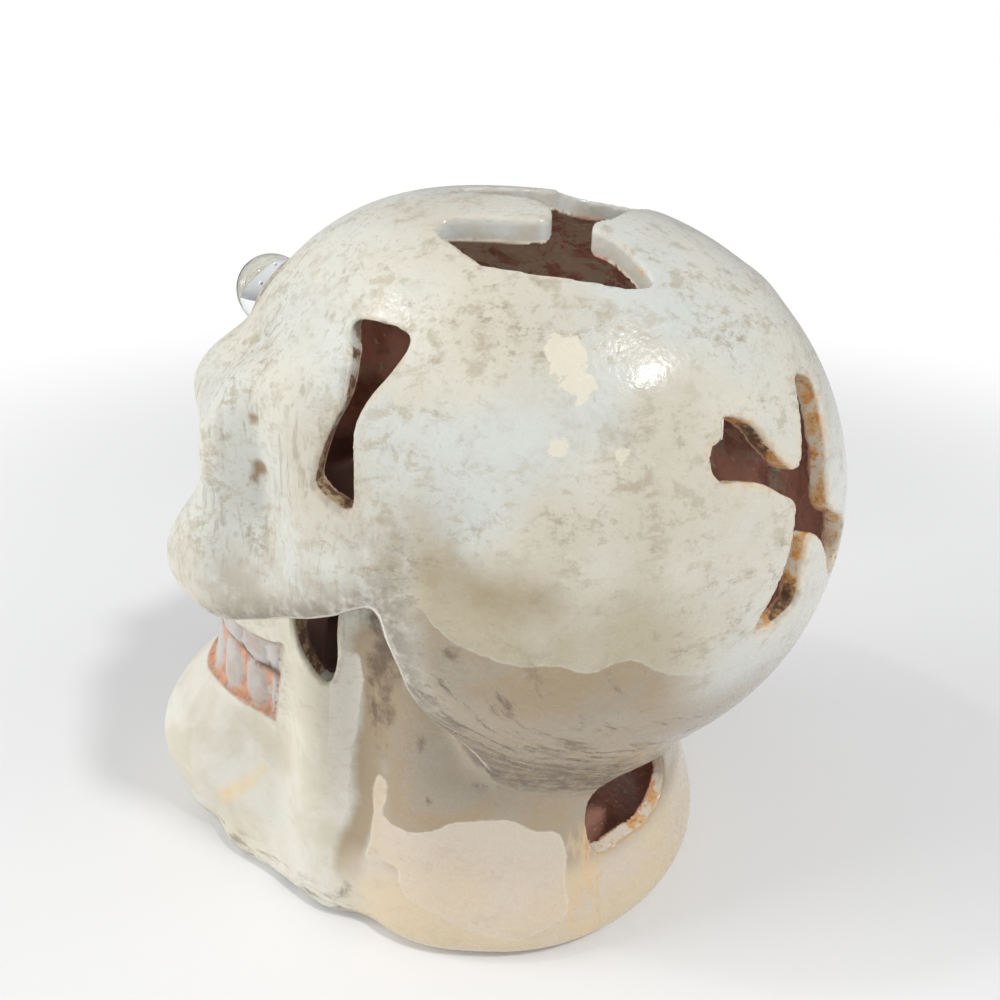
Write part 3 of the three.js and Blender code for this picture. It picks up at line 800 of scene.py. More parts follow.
rustSpots = [
    # place, reach and strength of the rust that gathers on some cut edges
    ((58, 88, 152), 24, 1.0),
    ((30, 99, 135), 22, 0.85),
    ((48, 88, 119), 8, 1.6),
    ((46, 74, 156), 8, 1.8),
    ((54, -10, 169), 9, 0.9),
    ((58, -12, 157), 8, 1.0),
    ((62, -14, 147), 11, 1.8),
    ((53, -28, 98), 10, 2.2),
    ((40, 64, 30), 12, 0.8),
]
smudges = [
    # place, reach and strength of grime and thin glaze
    ((56, -7, 106), 5, 0.9),
    ((57.5, -4, 99), 6, 1.2),
    ((57, -7, 91), 5, 1.1),
    ((57, -8, 83), 4.5, 1.0),
    ((56.8, -9.5, 75), 4, 0.75),
    ((57, -8, 67), 3, 0.5),
    ((60.8, 4.8, 55), 1.8, 0.7),
    ((57.4, 18.5, 58.5), 2.4, 0.7),
    ((59.4, 3.5, 73.9), 1.6, 0.6),
    ((73.9, 3.3, 130.5), 3.6, 0.3),
    ((73.9, 16.7, 115.1), 2.4, 0.75),
    ((73.9, 9.3, 114.9), 2.2, 0.6),
    ((66.1, 63.3, 126.2), 2, 0.5),
    ((68.1, 15.3, 90.1), 3, 0.6),
    ((60.5, -21, 11), 4.5, 0.5),
    ((47, -42, 8), 5, 0.4),
]
shadeClouds = [
    # place, reach and strength of darker, greyer glaze round the cheekbone and temple, partly painted shade
    ((72.7, 6, 139), 13, 0.8),
    ((73.5, -2, 128), 8, 0.5),
    ((67, -24, 121), 8, 0.75),
    ((63.5, -37, 118), 9, 0.85),
    ((70, -14, 124), 7, 0.7),
]
pits = [
    # place, reach and strength of the brown in the pits beside the eye
    ((56.5, -31.2, 158.2), 1.5, 1.0),
    ((56.3, -31.2, 146.6), 2.0, 1.0),
    ((56.3, -33, 143.8), 1.6, 0.7),
]
chips = [
    # place, reach and strength of spots where the cream glaze shows
    ((54, 36, 175), 4.6, 1.0),
    ((56.8, 38.5, 170), 3.4, 1.0),
    ((52.5, 34.2, 177), 3.0, 0.8),
    ((64, 36.5, 159.6), 2.6, 1.0),
    ((62.3, 48.5, 158.4), 2.1, 0.9),
]
glazePools = {
    # outlines of poured patches of glaze on each side of the skull, places along Y then heights
    "foot": [(-8.9, 59.5), (-7.5, 56), (-7.4, 51.7), (-9.4, 45.8), (-9.3, 43), (-2.7, 42), (6.8, 44.4),
             (11.4, 46.8), (21, 46.7), (26.8, 45.7), (32.5, 42.1), (38.4, 40.2), (41.3, 34.5),
             (41.8, 23.2), (43, 14.5), (38.5, 12), (30.7, 9), (18.7, 11.5), (5, 17.2), (0.5, 18.3),
             (-4, 22.7), (-4.9, 28.2), (-9.2, 27.8), (-15.1, 26.6), (-13.4, 33.2), (-12.6, 39.5),
             (-11.7, 46.5), (-11.5, 53)],
    "ramus": [(-14, 96), (-11.6, 91), (-12.9, 84.9), (-15, 72.5), (-17.5, 62.8), (-18.4, 52.5),
              (-19.3, 45.2), (-21.1, 38.8), (-23.4, 35.5), (-25.4, 37.4), (-26, 44.5), (-24.5, 60),
              (-21.8, 74), (-18.9, 94)],
    "valley": [(-14, 104), (0, 104), (1, 94), (-2, 84), (-4.8, 72), (-7.9, 60), (-7.1, 50.5), (-9.9, 43),
               (-14, 30), (-19, 14), (-25, 14), (-25, 26), (-22.5, 34), (-18, 46), (-17.5, 62), (-14, 80)],
    "chin": [(-71.7, 22.7), (-70.2, 17.4), (-68.6, 18.4), (-59.3, 28.3), (-51.9, 36.5), (-50.6, 41.5),
             (-55.6, 37.4), (-63.1, 32)],
    "gold": [(10.9, 134.5), (15.1, 136.4), (22.3, 136.7), (30.4, 134.9), (36.8, 133.2), (38.5, 130),
             (35.1, 126.6), (28.7, 125.7), (24.5, 125.4), (21.4, 126.9), (17.2, 129), (13.1, 130.9)],
}
# The lower edge of the cranium's cream glaze, places along Y then heights
creamEdge = [(-5, 135), (9, 129), (11.3, 124.5), (14.1, 120.8), (17.9, 117.6), (22.8, 116.3), (26.8, 115.3),
             (34, 114.5), (39.1, 115), (44.1, 113.3), (49.5, 114.7), (54.1, 116), (59.2, 112.2), (62.4, 110),
             (75, 106)]


def dressShell():
    p = readPoints(shell)
    side = folded(p)
    plain = plainSkin(side)
    depth = np.clip(-plain / skull["wall"], 0, 1)
    storeValue(shell, "depth", depth)
    nearest = np.full(len(p), 99.0)
    for hole in holes.values():
        nearest = np.minimum(nearest, holeDistance(hole, p))
    storeValue(shell, "rim", np.clip(nearest, 0, 20))
    allSpots = {"rust": rustSpots, "smudge": smudges, "shade": shadeClouds, "pit": pits, "chip": chips}
    for name, spots in allSpots.items():
        total = np.zeros(len(p))
        for place, reach, strength in spots:
            away = ((side - place) ** 2 * (0.25, 1, 1)).sum(1)
            total = np.maximum(total, strength * np.exp(-away / reach ** 2))
        storeValue(shell, name, total)
    # Teeth
    inset, gone, overBite = toothPlaces(side)
    panel = ease(inset, -0.2, 0.5) * (depth < 0.6)
    storeValue(shell, "panel", panel)
    storeValue(shell, "enamel", panel * ease(-gone, -1.12, -0.94))
    storeValue(shell, "upper", ease(overBite, -0.5, 0.5))
    biteWidth = 0.9 + 1.1 * ease(side[:, 1], -56, -47)
    storeValue(shell, "bite", panel * np.exp(-(overBite / biteWidth) ** 2))
    # Pools of glaze, as distances to their outlines
    along, height = side[:, 1], side[:, 2]
    outer = (depth < 0.5) & (side[:, 0] > 30)
    for name, outline in glazePools.items():
        edge = readGrid(outlineGrid(outlineCurve(outline, (1, 1), 6)), side[:, 1:])
        storeValue(shell, name + "Pool", np.where(outer, np.clip(edge, -9, 9), 9))
    storeValue(shell, "creamEdge", np.clip(height - curveThrough(creamEdge, along), -40, 40))
    storeValue(shell, "creamSpan", outer * ease(along, 5, 13) * ease(-along, -76, -58))
    # Seams between head and jaw
    underEdge = underCheek(side)
    head, jaw = headSkin(side), jawSkin(side)
    storeValue(shell, "lip", np.where(depth < 0.4, np.clip(underEdge, -15, 15), 15))
    storeValue(shell, "lipSpan", ease(-head, -3.2, -1.6) * ease(-abs(side[:, 1] + 26), -60, -45))
    gap = np.where(underEdge < 0, -30, jaw - head)
    storeValue(shell, "seam", np.clip(gap, -30, 60))
    coordinates = np.stack([gap, along * 0.16, height * 0.03], 1) / thousand
    layer = shell.data.attributes.new("seamPlace", "FLOAT_VECTOR", "POINT")
    layer.data.foreach_set("vector", coordinates.astype(np.float32).ravel())
    low = ease(-height, -108, -88) * ease(along, -16, -5) * (depth < 0.5)
    storeValue(shell, "neckTan", low)
    d = shellDistance(p)
    slope = slopeOf(shellDistance, p, d, 0.15)
    slope /= np.maximum(np.linalg.norm(slope, axis=1), 1e-9)[:, None]
    onlySelect(shell)
    bpy.ops.object.shade_smooth()
    shell.data.normals_split_custom_set_from_vertices(slope.tolist())


dressShell()
print("shell dressed")


glaze = {
    # the ground and the pools on it
    "ivory": (0.68, 0.66, 0.565),
    "cool": (0.63, 0.65, 0.605),
    "warm": (0.58, 0.51, 0.375),
    "jawLight": (0.74, 0.705, 0.61),
    "jawWarm": (0.62, 0.56, 0.43),
    "shade": (0.40, 0.365, 0.295),
    "tan": (0.37, 0.27, 0.15),
    "neck": (0.36, 0.30, 0.22),
    "cream": (0.50, 0.435, 0.30),
    "gold": (0.335, 0.255, 0.14),
    "footPool": (0.65, 0.56, 0.455),
    "footTan": (0.68, 0.56, 0.375),
    "valleyTan": (0.37, 0.275, 0.165),
    "footPoolWarm": (0.67, 0.555, 0.41),
    "ramusPool": (0.73, 0.695, 0.60),
    "chinPool": (0.80, 0.62, 0.37),
    "poolRingHighlight": (0.76, 0.71, 0.60),
    "run": (0.70, 0.50, 0.28),
    "darkRun": (0.50, 0.27, 0.12),
    "chip": (0.77, 0.715, 0.57),
    # the marks on it
    "mottle": (0.42, 0.36, 0.25),
    "smoke": (0.32, 0.26, 0.175),
    "blots": (0.36, 0.31, 0.22),
    "flecks": (0.27, 0.21, 0.14),
    "hairs": (0.31, 0.26, 0.19),
    "fuzz": (0.37, 0.315, 0.235),
    "pinkSpots": (0.60, 0.34, 0.21),
    "hem": (0.16, 0.125, 0.09),
    "seamShade": (0.27, 0.205, 0.13),
    "seamLines": (0.115, 0.078, 0.045),
    "grime": (0.14, 0.09, 0.048),
    "pit": (0.27, 0.165, 0.075),
    "lipShadow": (0.15, 0.115, 0.08),
    "lipSootAndShade": (0.25, 0.205, 0.155),
    "lip": (0.72, 0.67, 0.57),
    # the cut edges
    "cutPale": (0.66, 0.675, 0.64),
    "cutWarm": (0.60, 0.56, 0.46),
    "cutCreamAndLight": (0.93, 0.84, 0.69),
    "paleRust": (0.88, 0.55, 0.23),
    "orange": (0.78, 0.33, 0.08),
    "darkRust": (0.12, 0.055, 0.025),
    "brownRust": (0.44, 0.27, 0.12),
    "dullRust": (0.46, 0.34, 0.19),
    "rimLine": (0.64, 0.42, 0.24),
    # the hollow
    "inside": (0.80, 0.43, 0.32),
    "insideDark": (0.50, 0.25, 0.18),
    "insideFleck": (0.90, 0.82, 0.70),
    "insideSplash": (0.72, 0.62, 0.48),
    "insideCrownPaleAndLit": (0.96, 0.88, 0.70),
    "insideJawShade": (0.12, 0.075, 0.06),
    # the mouth
    "gum": (0.66, 0.335, 0.20),
    "gumDark": (0.45, 0.25, 0.17),
    "highGum": (0.36, 0.235, 0.165),
    "highGumDark": (0.26, 0.17, 0.12),
    "enamel": (0.52, 0.49, 0.46),
    "enamelDark": (0.46, 0.37, 0.31),
    "bite": (0.07, 0.045, 0.035),
}


def glazeMaterial():
    m = Maker("speckledGlaze")
    wobble = m.math("SUBTRACT", m.noise(170, 4, 0.6, shift=(5, 5, 1)), 0.5)
    coarse = m.noise(48, 4, 0.6, warp=0.4, shift=(2, 6, 1))
    y, z = m.axis("Y"), m.axis("Z")

    def pool(name, spread, low, high):
        # Inside an outline, with its edge moved by the noise: 1 at the low distance, 0 at the high one
        moved = m.math("ADD", m.attribute(name), m.times(wobble, spread))
        return m.step(moved, high, low), moved

    # Ivory with cooler and warmer clouds
    clouds = m.noise(17, 3, 0.5)
    base = m.mix(m.step(clouds, 0.42, 0.62), glaze["ivory"], glaze["cool"])
    warmClouds = m.step(m.noise(26, 4, 0.55, shift=(3, 1, 2)), 0.44, 0.66)
    base = m.over(base, glaze["warm"], warmClouds, 0.5)
    jaw = m.times(m.step(y, -0.012, -0.026), m.step(z, 0.100, 0.090))
    jawTone = m.mix(m.step(coarse, 0.36, 0.62), glaze["jawLight"], glaze["jawWarm"])
    base = m.over(base, jawTone, jaw, 0.7)
    # Painted shade with greyer glaze round the cheekbone and temple
    shade = m.times(m.attribute("shade"), m.step(m.noise(110, 5, 0.65), 0.30, 0.58))
    base = m.over(base, glaze["shade"], shade, 0.85)
    # The neck and the underside of the cranium are tan
    neck = m.mix(m.step(coarse, 0.36, 0.64), glaze["neck"], glaze["tan"])
    base = m.over(base, neck, m.attribute("neckTan"), 0.95)
    span = m.attribute("creamSpan")
    below, creamPlace = pool("creamEdge", 3.0, -0.25, 0.25)
    above = m.times(m.step(creamPlace, -0.2, 0.2), m.step(creamPlace, 28, 8), span)
    base = m.over(base, glaze["cream"], above, m.step(coarse, 0.25, 0.5, 0.6, 0.95))
    goldPool = pool("goldPool", 7, -7, 6)[0]
    base = m.over(base, glaze["gold"], goldPool, m.step(coarse, 0.3, 0.6, 0.7, 1.0), span)
    underside = m.mix(m.step(coarse, 0.42, 0.66), glaze["tan"], glaze["neck"])
    base = m.over(base, underside, below, span, m.step(creamPlace, -34, -12), 0.95)
    # Valley behind the jaw, and the pools over it
    valley = pool("valleyPool", 4, -2.5, 1.5)[0]
    base = m.over(base, glaze["valleyTan"], valley, m.step(z, 0.012, 0.028), 0.92)
    footTan = m.times(m.step(z, 0.034, 0.024), m.step(y, -0.03, -0.012))
    footTone = m.mix(m.step(coarse, 0.4, 0.65), glaze["footTan"], glaze["footPool"])
    base = m.over(base, footTone, footTan, 0.9)
    streaky = m.noise(150, 4, 0.6, stretch=(1, 1, 0.16), warp=0.4)
    runBand = m.times(m.step(y, 0.0405, 0.0425), m.step(y, 0.054, 0.049), m.step(z, 0.045, 0.036))
    base = m.over(base, glaze["run"], runBand, m.step(streaky, 0.36, 0.54), 0.9)
    base = m.over(base, glaze["darkRun"], runBand, m.step(streaky, 0.50, 0.60), 0.75)
    footPool, footPlace = pool("footPool", 1.6, -0.22, 0.22)
    poolTone = m.mix(m.step(clouds, 0.4, 0.6), glaze["footPool"], glaze["footPoolWarm"])
    base = m.over(base, poolTone, footPool, 0.95)
    ramusPool, ramusPlace = pool("ramusPool", 2.6, -0.25, 0.25)
    ramusPool = m.times(ramusPool, m.step(y, -0.0265, -0.0185))
    base = m.over(base, glaze["ramusPool"], ramusPool, 0.9)
    chinPool = pool("chinPool", 3, -3, 1.5)[0]
    base = m.over(base, glaze["chinPool"], chinPool, 0.95)
    # Painted highlights along the raised edges of the pools
    footRingHighlight = m.step(m.math("ABSOLUTE", footPlace), 0.5, 0.15)
    ramusRingHighlight = m.step(m.math("ABSOLUTE", ramusPlace), 0.45, 0.15)
    creamRingHighlight = m.times(m.step(m.math("ABSOLUTE", creamPlace), 0.5, 0.1), span)
    ringHighlights = m.math("MAXIMUM", m.math("MAXIMUM", footRingHighlight, ramusRingHighlight), creamRingHighlight)
    base = m.over(base, glaze["poolRingHighlight"], ringHighlights, m.step(y, -0.025, -0.02), 0.35)
    # Soft brown mottle, fine flecks and hair streaks
    mottle = m.step(m.noise(150, 8, 0.72, stretch=(1, 1, 1.6), warp=0.25, shift=(1, 4, 0)), 0.51, 0.63)
    broad = m.step(m.noise(34, 3, 0.5, shift=(7, 2, 5)), 0.36, 0.6, 0.35, 1.0)
    broad = m.times(broad, m.math("SUBTRACT", 1, m.times(jaw, 0.45)), m.step(z, 0.045, 0.068, 0.3, 1))
    base = m.over(base, glaze["mottle"], mottle, broad, 0.6)
    smoke = m.step(m.noise(230, 9, 0.78, stretch=(1, 1, 1.8), shift=(3, 3, 9)), 0.50, 0.62)
    patches = m.step(m.noise(70, 4, 0.6, shift=(2, 2, 7)), 0.50, 0.62)
    base = m.over(base, glaze["smoke"], smoke, patches, broad, 0.66)
    blots = m.step(m.noise(75, 7, 0.72, warp=0.7, shift=(8, 8, 2)), 0.57, 0.72)
    base = m.over(base, glaze["blots"], blots, broad, 0.45)
    flecks = m.step(m.noise(560, 4, 0.6, warp=0.2), 0.56, 0.76)
    base = m.over(base, glaze["flecks"], flecks, broad, 0.4)
    face = m.times(m.step(y, 0.012, -0.022), m.step(z, 0.094, 0.108))
    hairs = m.step(m.noise(560, 3, 0.6, stretch=(1, 1, 0.14), turn=(9, 0, 0), warp=0.3), 0.53, 0.67)
    base = m.over(base, glaze["hairs"], hairs, face, m.step(coarse, 0.34, 0.56), 0.5)
    fuzz = m.step(m.noise(210, 6, 0.7, stretch=(1, 1, 0.35), warp=0.4, shift=(4, 1, 1)), 0.53, 0.69)
    base = m.over(base, glaze["fuzz"], fuzz, face, 0.34)
    pinkSpots = m.times(m.step(m.noise(95, 3, 0.6, shift=(6, 3, 8)), 0.67, 0.73), m.step(flecks, 0.1, 0.6))
    base = m.over(base, glaze["pinkSpots"], pinkSpots, 0.55)
    # Dark streaks along the bottom edge at the front, darker towards the foot
    bottomStreaks = m.step(m.noise(300, 5, 0.65, stretch=(0.3, 0.3, 1), warp=0.3, shift=(1, 8, 8)), 0.48, 0.62)
    hem = m.times(bottomStreaks, m.step(z, 0.015, 0.005), m.step(y, -0.012, -0.022))
    base = m.over(base, glaze["hem"], hem, 0.8)
    # Chips of cream
    torn = m.math("SUBTRACT", m.noise(230, 5, 0.7, shift=(4, 4, 4)), 0.5)
    chip = m.step(m.math("ADD", m.attribute("chip"), m.times(torn, 1.5)), 0.46, 0.53)
    base = m.over(base, glaze["chip"], chip, 0.8)
    # Painted shade next to the seam under the cranium, and dark streaks that follow the seam
    seam = m.attribute("seam")
    fan = m.attribute("seamPlace", "Vector")
    thinning = m.times(m.math("MAXIMUM", seam, 0), 0.005)
    lines = m.step(m.math("SUBTRACT", m.noise(560, 8, 0.7, warp=0.5, along=fan), thinning), 0.44, 0.55)
    broken = m.step(m.noise(230, 6, 0.68, warp=0.5, shift=(9, 1, 3)), 0.36, 0.52)
    nearSeam = m.times(m.step(seam, 40, 20), m.step(seam, -8, -1), m.step(y, -0.004, 0.008),
                       m.step(y, 0.090, 0.070), m.step(z, 0.122, 0.104))
    base = m.over(base, glaze["seamShade"], m.step(seam, 18, 2), nearSeam, 0.5)
    base = m.over(base, glaze["seamLines"], lines, broken, nearSeam, 0.9)
    # Grime in the valley and brown pits
    smudge = m.attribute("smudge")
    grime = m.step(m.math("ADD", m.noise(150, 6, 0.7, warp=0.3), m.times(smudge, 0.42)), 0.58, 0.92)
    base = m.over(base, glaze["grime"], grime, m.step(smudge, 0.04, 0.4), 0.95)
    pit = m.step(m.math("ADD", m.attribute("pit"), m.times(wobble, 0.5)), 0.15, 0.75)
    base = m.over(base, glaze["pit"], pit, 0.85)
    # A pale raised lip along the edge of the cheek and down the crease, its paler colour partly a painted
    # highlight, with a painted shadow line under it and painted shade with dark soot streaks on the cheek's
    # underside above it
    lipSpan = m.attribute("lipSpan")
    lip = m.math("ADD", m.attribute("lip"), m.times(wobble, 1.6))
    # Painted shadow line under the lip
    dark = m.times(m.step(lip, -2.8, -0.4), m.step(lip, 1.15, 0.85), lipSpan)
    base = m.over(base, glaze["lipShadow"], dark, 0.8)
    # Painted shade with soot streaks on the underside of the cheek
    soot = m.step(m.noise(260, 5, 0.65), 0.30, 0.60)
    base = m.over(base, glaze["lipSootAndShade"], m.step(lip, 11, 2.2), m.step(lip, 1.6, 2.2), soot, lipSpan, 0.8)
    # Paler lip, partly a painted highlight on its edge
    bead = m.times(m.step(lip, 1.95, 1.65), m.step(lip, 0.9, 1.15), lipSpan)
    base = m.over(base, glaze["lip"], bead, 0.75)
    # Rust where the glaze runs thin over the cut edges
    rim, depth, rust = m.attribute("rim"), m.attribute("depth"), m.attribute("rust")
    ragged = m.noise(240, 6, 0.72, warp=0.25)
    cutFace = m.times(m.step(depth, 0.10, 0.22), m.step(rim, 3, 1.6))
    pale = m.mix(m.step(m.noise(90, 4, 0.6), 0.4, 0.65), glaze["cutPale"], glaze["cutWarm"])
    # Cream on the cut faces towards the back, partly painted light where strong light falls on them
    pale = m.over(pale, glaze["cutCreamAndLight"], m.step(y, 0.040, 0.055), m.step(z, 0.185, 0.175))
    base = m.over(base, pale, cutFace, 0.88)
    edge = m.step(m.math("ADD", rim, m.times(ragged, -4)), 0.2, -1.8)
    rusted = m.math("ADD", ragged, m.times(rust, 0.26))
    rustMask = m.times(m.step(rusted, 0.62, 0.72), m.math("MAXIMUM", m.times(edge, 0.3), cutFace))
    core = m.step(rusted, 0.76, 0.88)
    grit = m.step(m.noise(480, 5, 0.68, shift=(2, 2, 2)), 0.44, 0.60)
    rustTone = m.mix(core, m.mix(grit, glaze["paleRust"], glaze["orange"]),
                     m.mix(grit, glaze["darkRust"], glaze["brownRust"]))
    brownTone = m.mix(grit, glaze["darkRust"], glaze["dullRust"])
    rustTone = m.mix(m.step(y, 0.03, 0.01), rustTone, brownTone)
    base = m.over(base, rustTone, rustMask, 0.94)
    line = m.times(m.step(rim, 1.4, 0.5), m.step(depth, 0.12, 0.03), m.step(m.noise(160, 4, 0.6), 0.44, 0.62))
    base = m.over(base, glaze["rimLine"], line, 0.35)
    # Red-brown glaze inside, with pale flecks, and splashes of the outer glaze near the openings; pale
    # patches under the crown, partly painted light; painted shade in the hollow of the jaw
    inner = m.mix(m.step(m.noise(60, 5, 0.65, warp=0.5), 0.40, 0.68), glaze["inside"], glaze["insideDark"])
    flakes = m.step(m.noise(240, 5, 0.65, warp=0.6, shift=(2, 9, 4)), 0.61, 0.68)
    specks = m.times(m.step(m.noise(620, 3, 0.6, shift=(1, 5, 2)), 0.62, 0.67), m.step(z, 0.075, 0.06))
    inner = m.over(inner, glaze["insideFleck"], m.math("MAXIMUM", flakes, specks), 0.85)
    splash = m.times(m.step(m.noise(120, 6, 0.7, warp=0.4, shift=(1, 1, 6)), 0.50, 0.58), m.step(rim, 15, 4))
    inner = m.over(inner, glaze["insideSplash"], splash, 0.7)
    # Pale patches high inside under the crown, partly painted light coming in through the crown opening
    underCrownPaleAndLit = m.step(m.noise(85, 6, 0.7, warp=0.5, shift=(5, 1, 1)), 0.42, 0.54)
    inner = m.over(inner, glaze["insideCrownPaleAndLit"], underCrownPaleAndLit, m.step(z, 0.150, 0.168), 0.95)
    # Painted shade: the hollow behind the face and jaw is darkened
    inJawShade = m.times(m.step(y, 0.004, -0.012), m.step(z, 0.120, 0.108))
    inner = m.over(inner, glaze["insideJawShade"], inJawShade, 0.9)
    insideMask = m.step(m.math("ADD", depth, m.times(ragged, 0.3)), 0.90, 1.03)
    base = m.over(base, inner, insideMask)
    # Teeth
    toothNoise = m.noise(210, 4, 0.6, warp=0.5)
    lowGum = m.mix(m.step(toothNoise, 0.40, 0.60), glaze["gum"], glaze["gumDark"])
    highGum = m.mix(m.step(toothNoise, 0.4, 0.6), glaze["highGum"], glaze["highGumDark"])
    gum = m.mix(m.attribute("upper"), lowGum, highGum)
    enamel = m.mix(m.step(m.noise(130, 4, 0.6), 0.42, 0.68), glaze["enamel"], glaze["enamelDark"])
    mouth = m.mix(m.attribute("enamel"), gum, enamel)
    bite = m.times(m.attribute("bite"), m.step(m.noise(190, 4, 0.6), 0.22, 0.46))
    mouth = m.over(mouth, glaze["bite"], bite, 0.95)
    base = m.over(base, mouth, m.attribute("panel"))
    # The face is satin, the rest has a glossy coat
    m.set(Base_Color=base, Specular_IOR_Level=0.5, Coat_Roughness=0.05, IOR=1.5)
    m.set(Coat_Weight=m.step(y, -0.014, 0.008, 0.04, 0.42))
    satin = m.step(y, 0.004, -0.020)
    m.set(Roughness=m.math("ADD", m.step(m.noise(300, 3, 0.5), 0.3, 0.7, 0.19, 0.30), m.times(satin, 0.26)))
    # Thick edges of the pools and the lip stand proud, over the pebbled skin of the glaze
    overCream = m.times(m.step(creamPlace, -0.2, 0.2), span)
    thick = m.math("MAXIMUM", footPool, m.math("MAXIMUM", ramusPool, overCream))
    proud = m.bump(m.math("ADD", m.times(thick, 0.5), bead), 0.6, 0.00035)
    wrinkles = m.bump(m.times(lines, nearSeam, -1), 0.35, 0.0003, proud)
    pebbles = m.bump(m.noise(760, 3, 0.5), 0.55, 0.00020, wrinkles)
    m.set(Normal=pebbles)
    m.join(pebbles, m.shader.inputs["Coat Normal"])
    return m


wear(shell, glazeMaterial())
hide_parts("skull_shell")
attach(shell, "skull")
print("skull glazed")


# Glass ball and the cement that beds it

ballRise = math.radians(34)  # how far the forehead under the ball leans back
ballTilt = Vector((0, -math.cos(ballRise), math.sin(ballRise)))


def turnTo(thing, direction, place):
    turn = direction.to_track_quat("Z", "Y").to_matrix().to_4x4()
    thing.data.transform(Matrix.Translation(place) @ turn)


def finishPiece(thing, name, node, body, maker):
    onlySelect(thing)
    bpy.ops.object.shade_smooth()
    thing.name = name
    thing.data.name = name
    wear(thing, maker)
    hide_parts(node)
    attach(thing, body)


bubbles = [
    # place in the ball and radius, in millimetres
    ((3.1, 1.2, 2.4), 0.42),
    ((-2.6, -3.4, 1.1), 0.30),
    ((0.8, 3.9, -1.6), 0.36),
    ((-4.2, 1.9, 3.0), 0.22),
    ((1.7, -1.2, 5.2), 0.26),
    ((4.9, -2.3, -0.8), 0.20),
]


def makeBall():
    deselectAll()
    radius = ball["radius"] / thousand
    bpy.ops.mesh.primitive_uv_sphere_add(segments=64, ring_count=40, radius=radius)
    glass = bpy.context.object
    for vertex in glass.data.vertices:
        # Hand-pressed glass is never quite round
        across, along, up = (value * thousand for value in vertex.co)
        vertex.co *= 1 + 0.004 * math.sin(0.41 * across + 0.9) + 0.003 * math.sin(0.37 * along - 0.3 * up)
    pockets = []
    for place, size in bubbles:
        deselectAll()
        bpy.ops.mesh.primitive_ico_sphere_add(
            subdivisions=3, radius=size / thousand, location=Vector(place) / thousand)
        pocket = bpy.context.object
        applyPlace(pocket)
        pocket.data.flip_normals()
        pockets.append(pocket)
    onlySelect(glass, *pockets)
    bpy.ops.object.join()
    turnTo(glass, ballTilt, (ballLow + ballHigh) / 2)
    m = Maker("clearGlass")
    m.set(Base_Color=(0.96, 0.98, 0.985), Transmission_Weight=1.0, IOR=1.5)
    m.set(Roughness=m.step(m.noise(420, 4, 0.6), 0.45, 0.75, 0.005, 0.06))
    m.set(Normal=m.bump(m.noise(150, 3, 0.5), 0.10, 0.0004))
    finishPiece(glass, "glassBall", "forehead_ball", "skull", m)


cement = {
    "radius": 10.5,
    "halfWidth": 0.45,
    "depth": 4.4,
    "proud": 0.35,
    "ripple": 0.12,
    "segments": 72,
    "sides": 14,
}


def makeCement():
    deselectAll()
    bpy.ops.mesh.primitive_torus_add(
        major_segments=cement["segments"], minor_segments=cement["sides"],
        major_radius=cement["radius"] / thousand, minor_radius=cement["halfWidth"] / thousand)
    bead = bpy.context.object
    middle = (cement["proud"] - cement["depth"]) / 2
    half = (cement["proud"] + cement["depth"]) / 2
    for vertex in bead.data.vertices:
        around = math.atan2(vertex.co.y, vertex.co.x)
        outward = (math.hypot(vertex.co.x, vertex.co.y) * thousand - cement["radius"]) / cement["halfWidth"]
        upward = vertex.co.z * thousand / cement["halfWidth"]
        ripple = cement["ripple"] * max(upward, 0) * math.sin(5 * around) * math.sin(3 * around + 1)
        height = middle + half * upward + ripple
        radius = math.sqrt(cement["radius"] ** 2 - height ** 2) + cement["halfWidth"] * outward
        vertex.co = Vector((radius * math.cos(around), radius * math.sin(around), height)) / thousand
    turnTo(bead, ballTilt, (ballLow + ballHigh) / 2)
    m = Maker("paleCement")
    grains = m.noise(900, 5, 0.7)
    m.set(Base_Color=m.mix(m.step(grains, 0.35, 0.68), (0.36, 0.32, 0.26), (0.58, 0.55, 0.48)))
    m.set(Roughness=m.step(grains, 0.3, 0.7, 0.55, 0.85), Normal=m.bump(grains, 0.6, 0.0003))
    finishPiece(bead, "cementBead", "ball_cement", "skull", m)


makeBall()
makeCement()
print("ball set in its cement")


# Felt pads under the foot

pad = {"radius": 6, "thickness": 0.8, "bevel": 0.28, "segments": 48}
padNames = ("foot_pad_rear_left", "foot_pad_rear_right", "foot_pad_front_right", "foot_pad_front_left")


def feltMaterial():
    m = Maker("darkFelt")
    fuzz = m.noise(1400, 6, 0.75, warp=1.5)
    threads = m.noise(2600, 3, 0.6, stretch=(1, 0.2, 1), warp=2)
    m.set(Base_Color=m.mix(m.step(fuzz, 0.35, 0.7), (0.026, 0.021, 0.017), (0.075, 0.062, 0.05)))
    m.set(Roughness=m.step(fuzz, 0.3, 0.7, 0.86, 1.0), Specular_IOR_Level=0.2)
    m.set(Sheen_Weight=0.4, Sheen_Roughness=0.5)
    m.set(Normal=m.bump(threads, 0.7, 0.0002, m.bump(fuzz, 0.8, 0.0003)))
    return m


def makePads():
    felt = feltMaterial()
    deselectAll()
    bpy.ops.mesh.primitive_cylinder_add(
        vertices=pad["segments"], radius=pad["radius"] / thousand, depth=pad["thickness"] / thousand)
    model = bpy.context.object
    bpy.ops.object.mode_set(mode="EDIT")
    bpy.ops.mesh.select_all(action="SELECT")
    bpy.ops.mesh.bevel(offset=pad["bevel"] / thousand, segments=4, affect="EDGES")
    bpy.ops.object.mode_set(mode="OBJECT")
    for name in padNames:
        low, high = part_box(name)
        disc = model.copy()
        disc.data = model.data.copy()
        bpy.context.collection.objects.link(disc)
        disc.data.transform(Matrix.Translation((low + high) / 2))
        onlySelect(disc)
        parts = name.split("_")
        finishPiece(disc, "feltPad" + parts[2].title() + parts[3].title(), name, "skull", felt)
    bpy.data.objects.remove(model)


makePads()
print("pads stuck on")


# Tea light

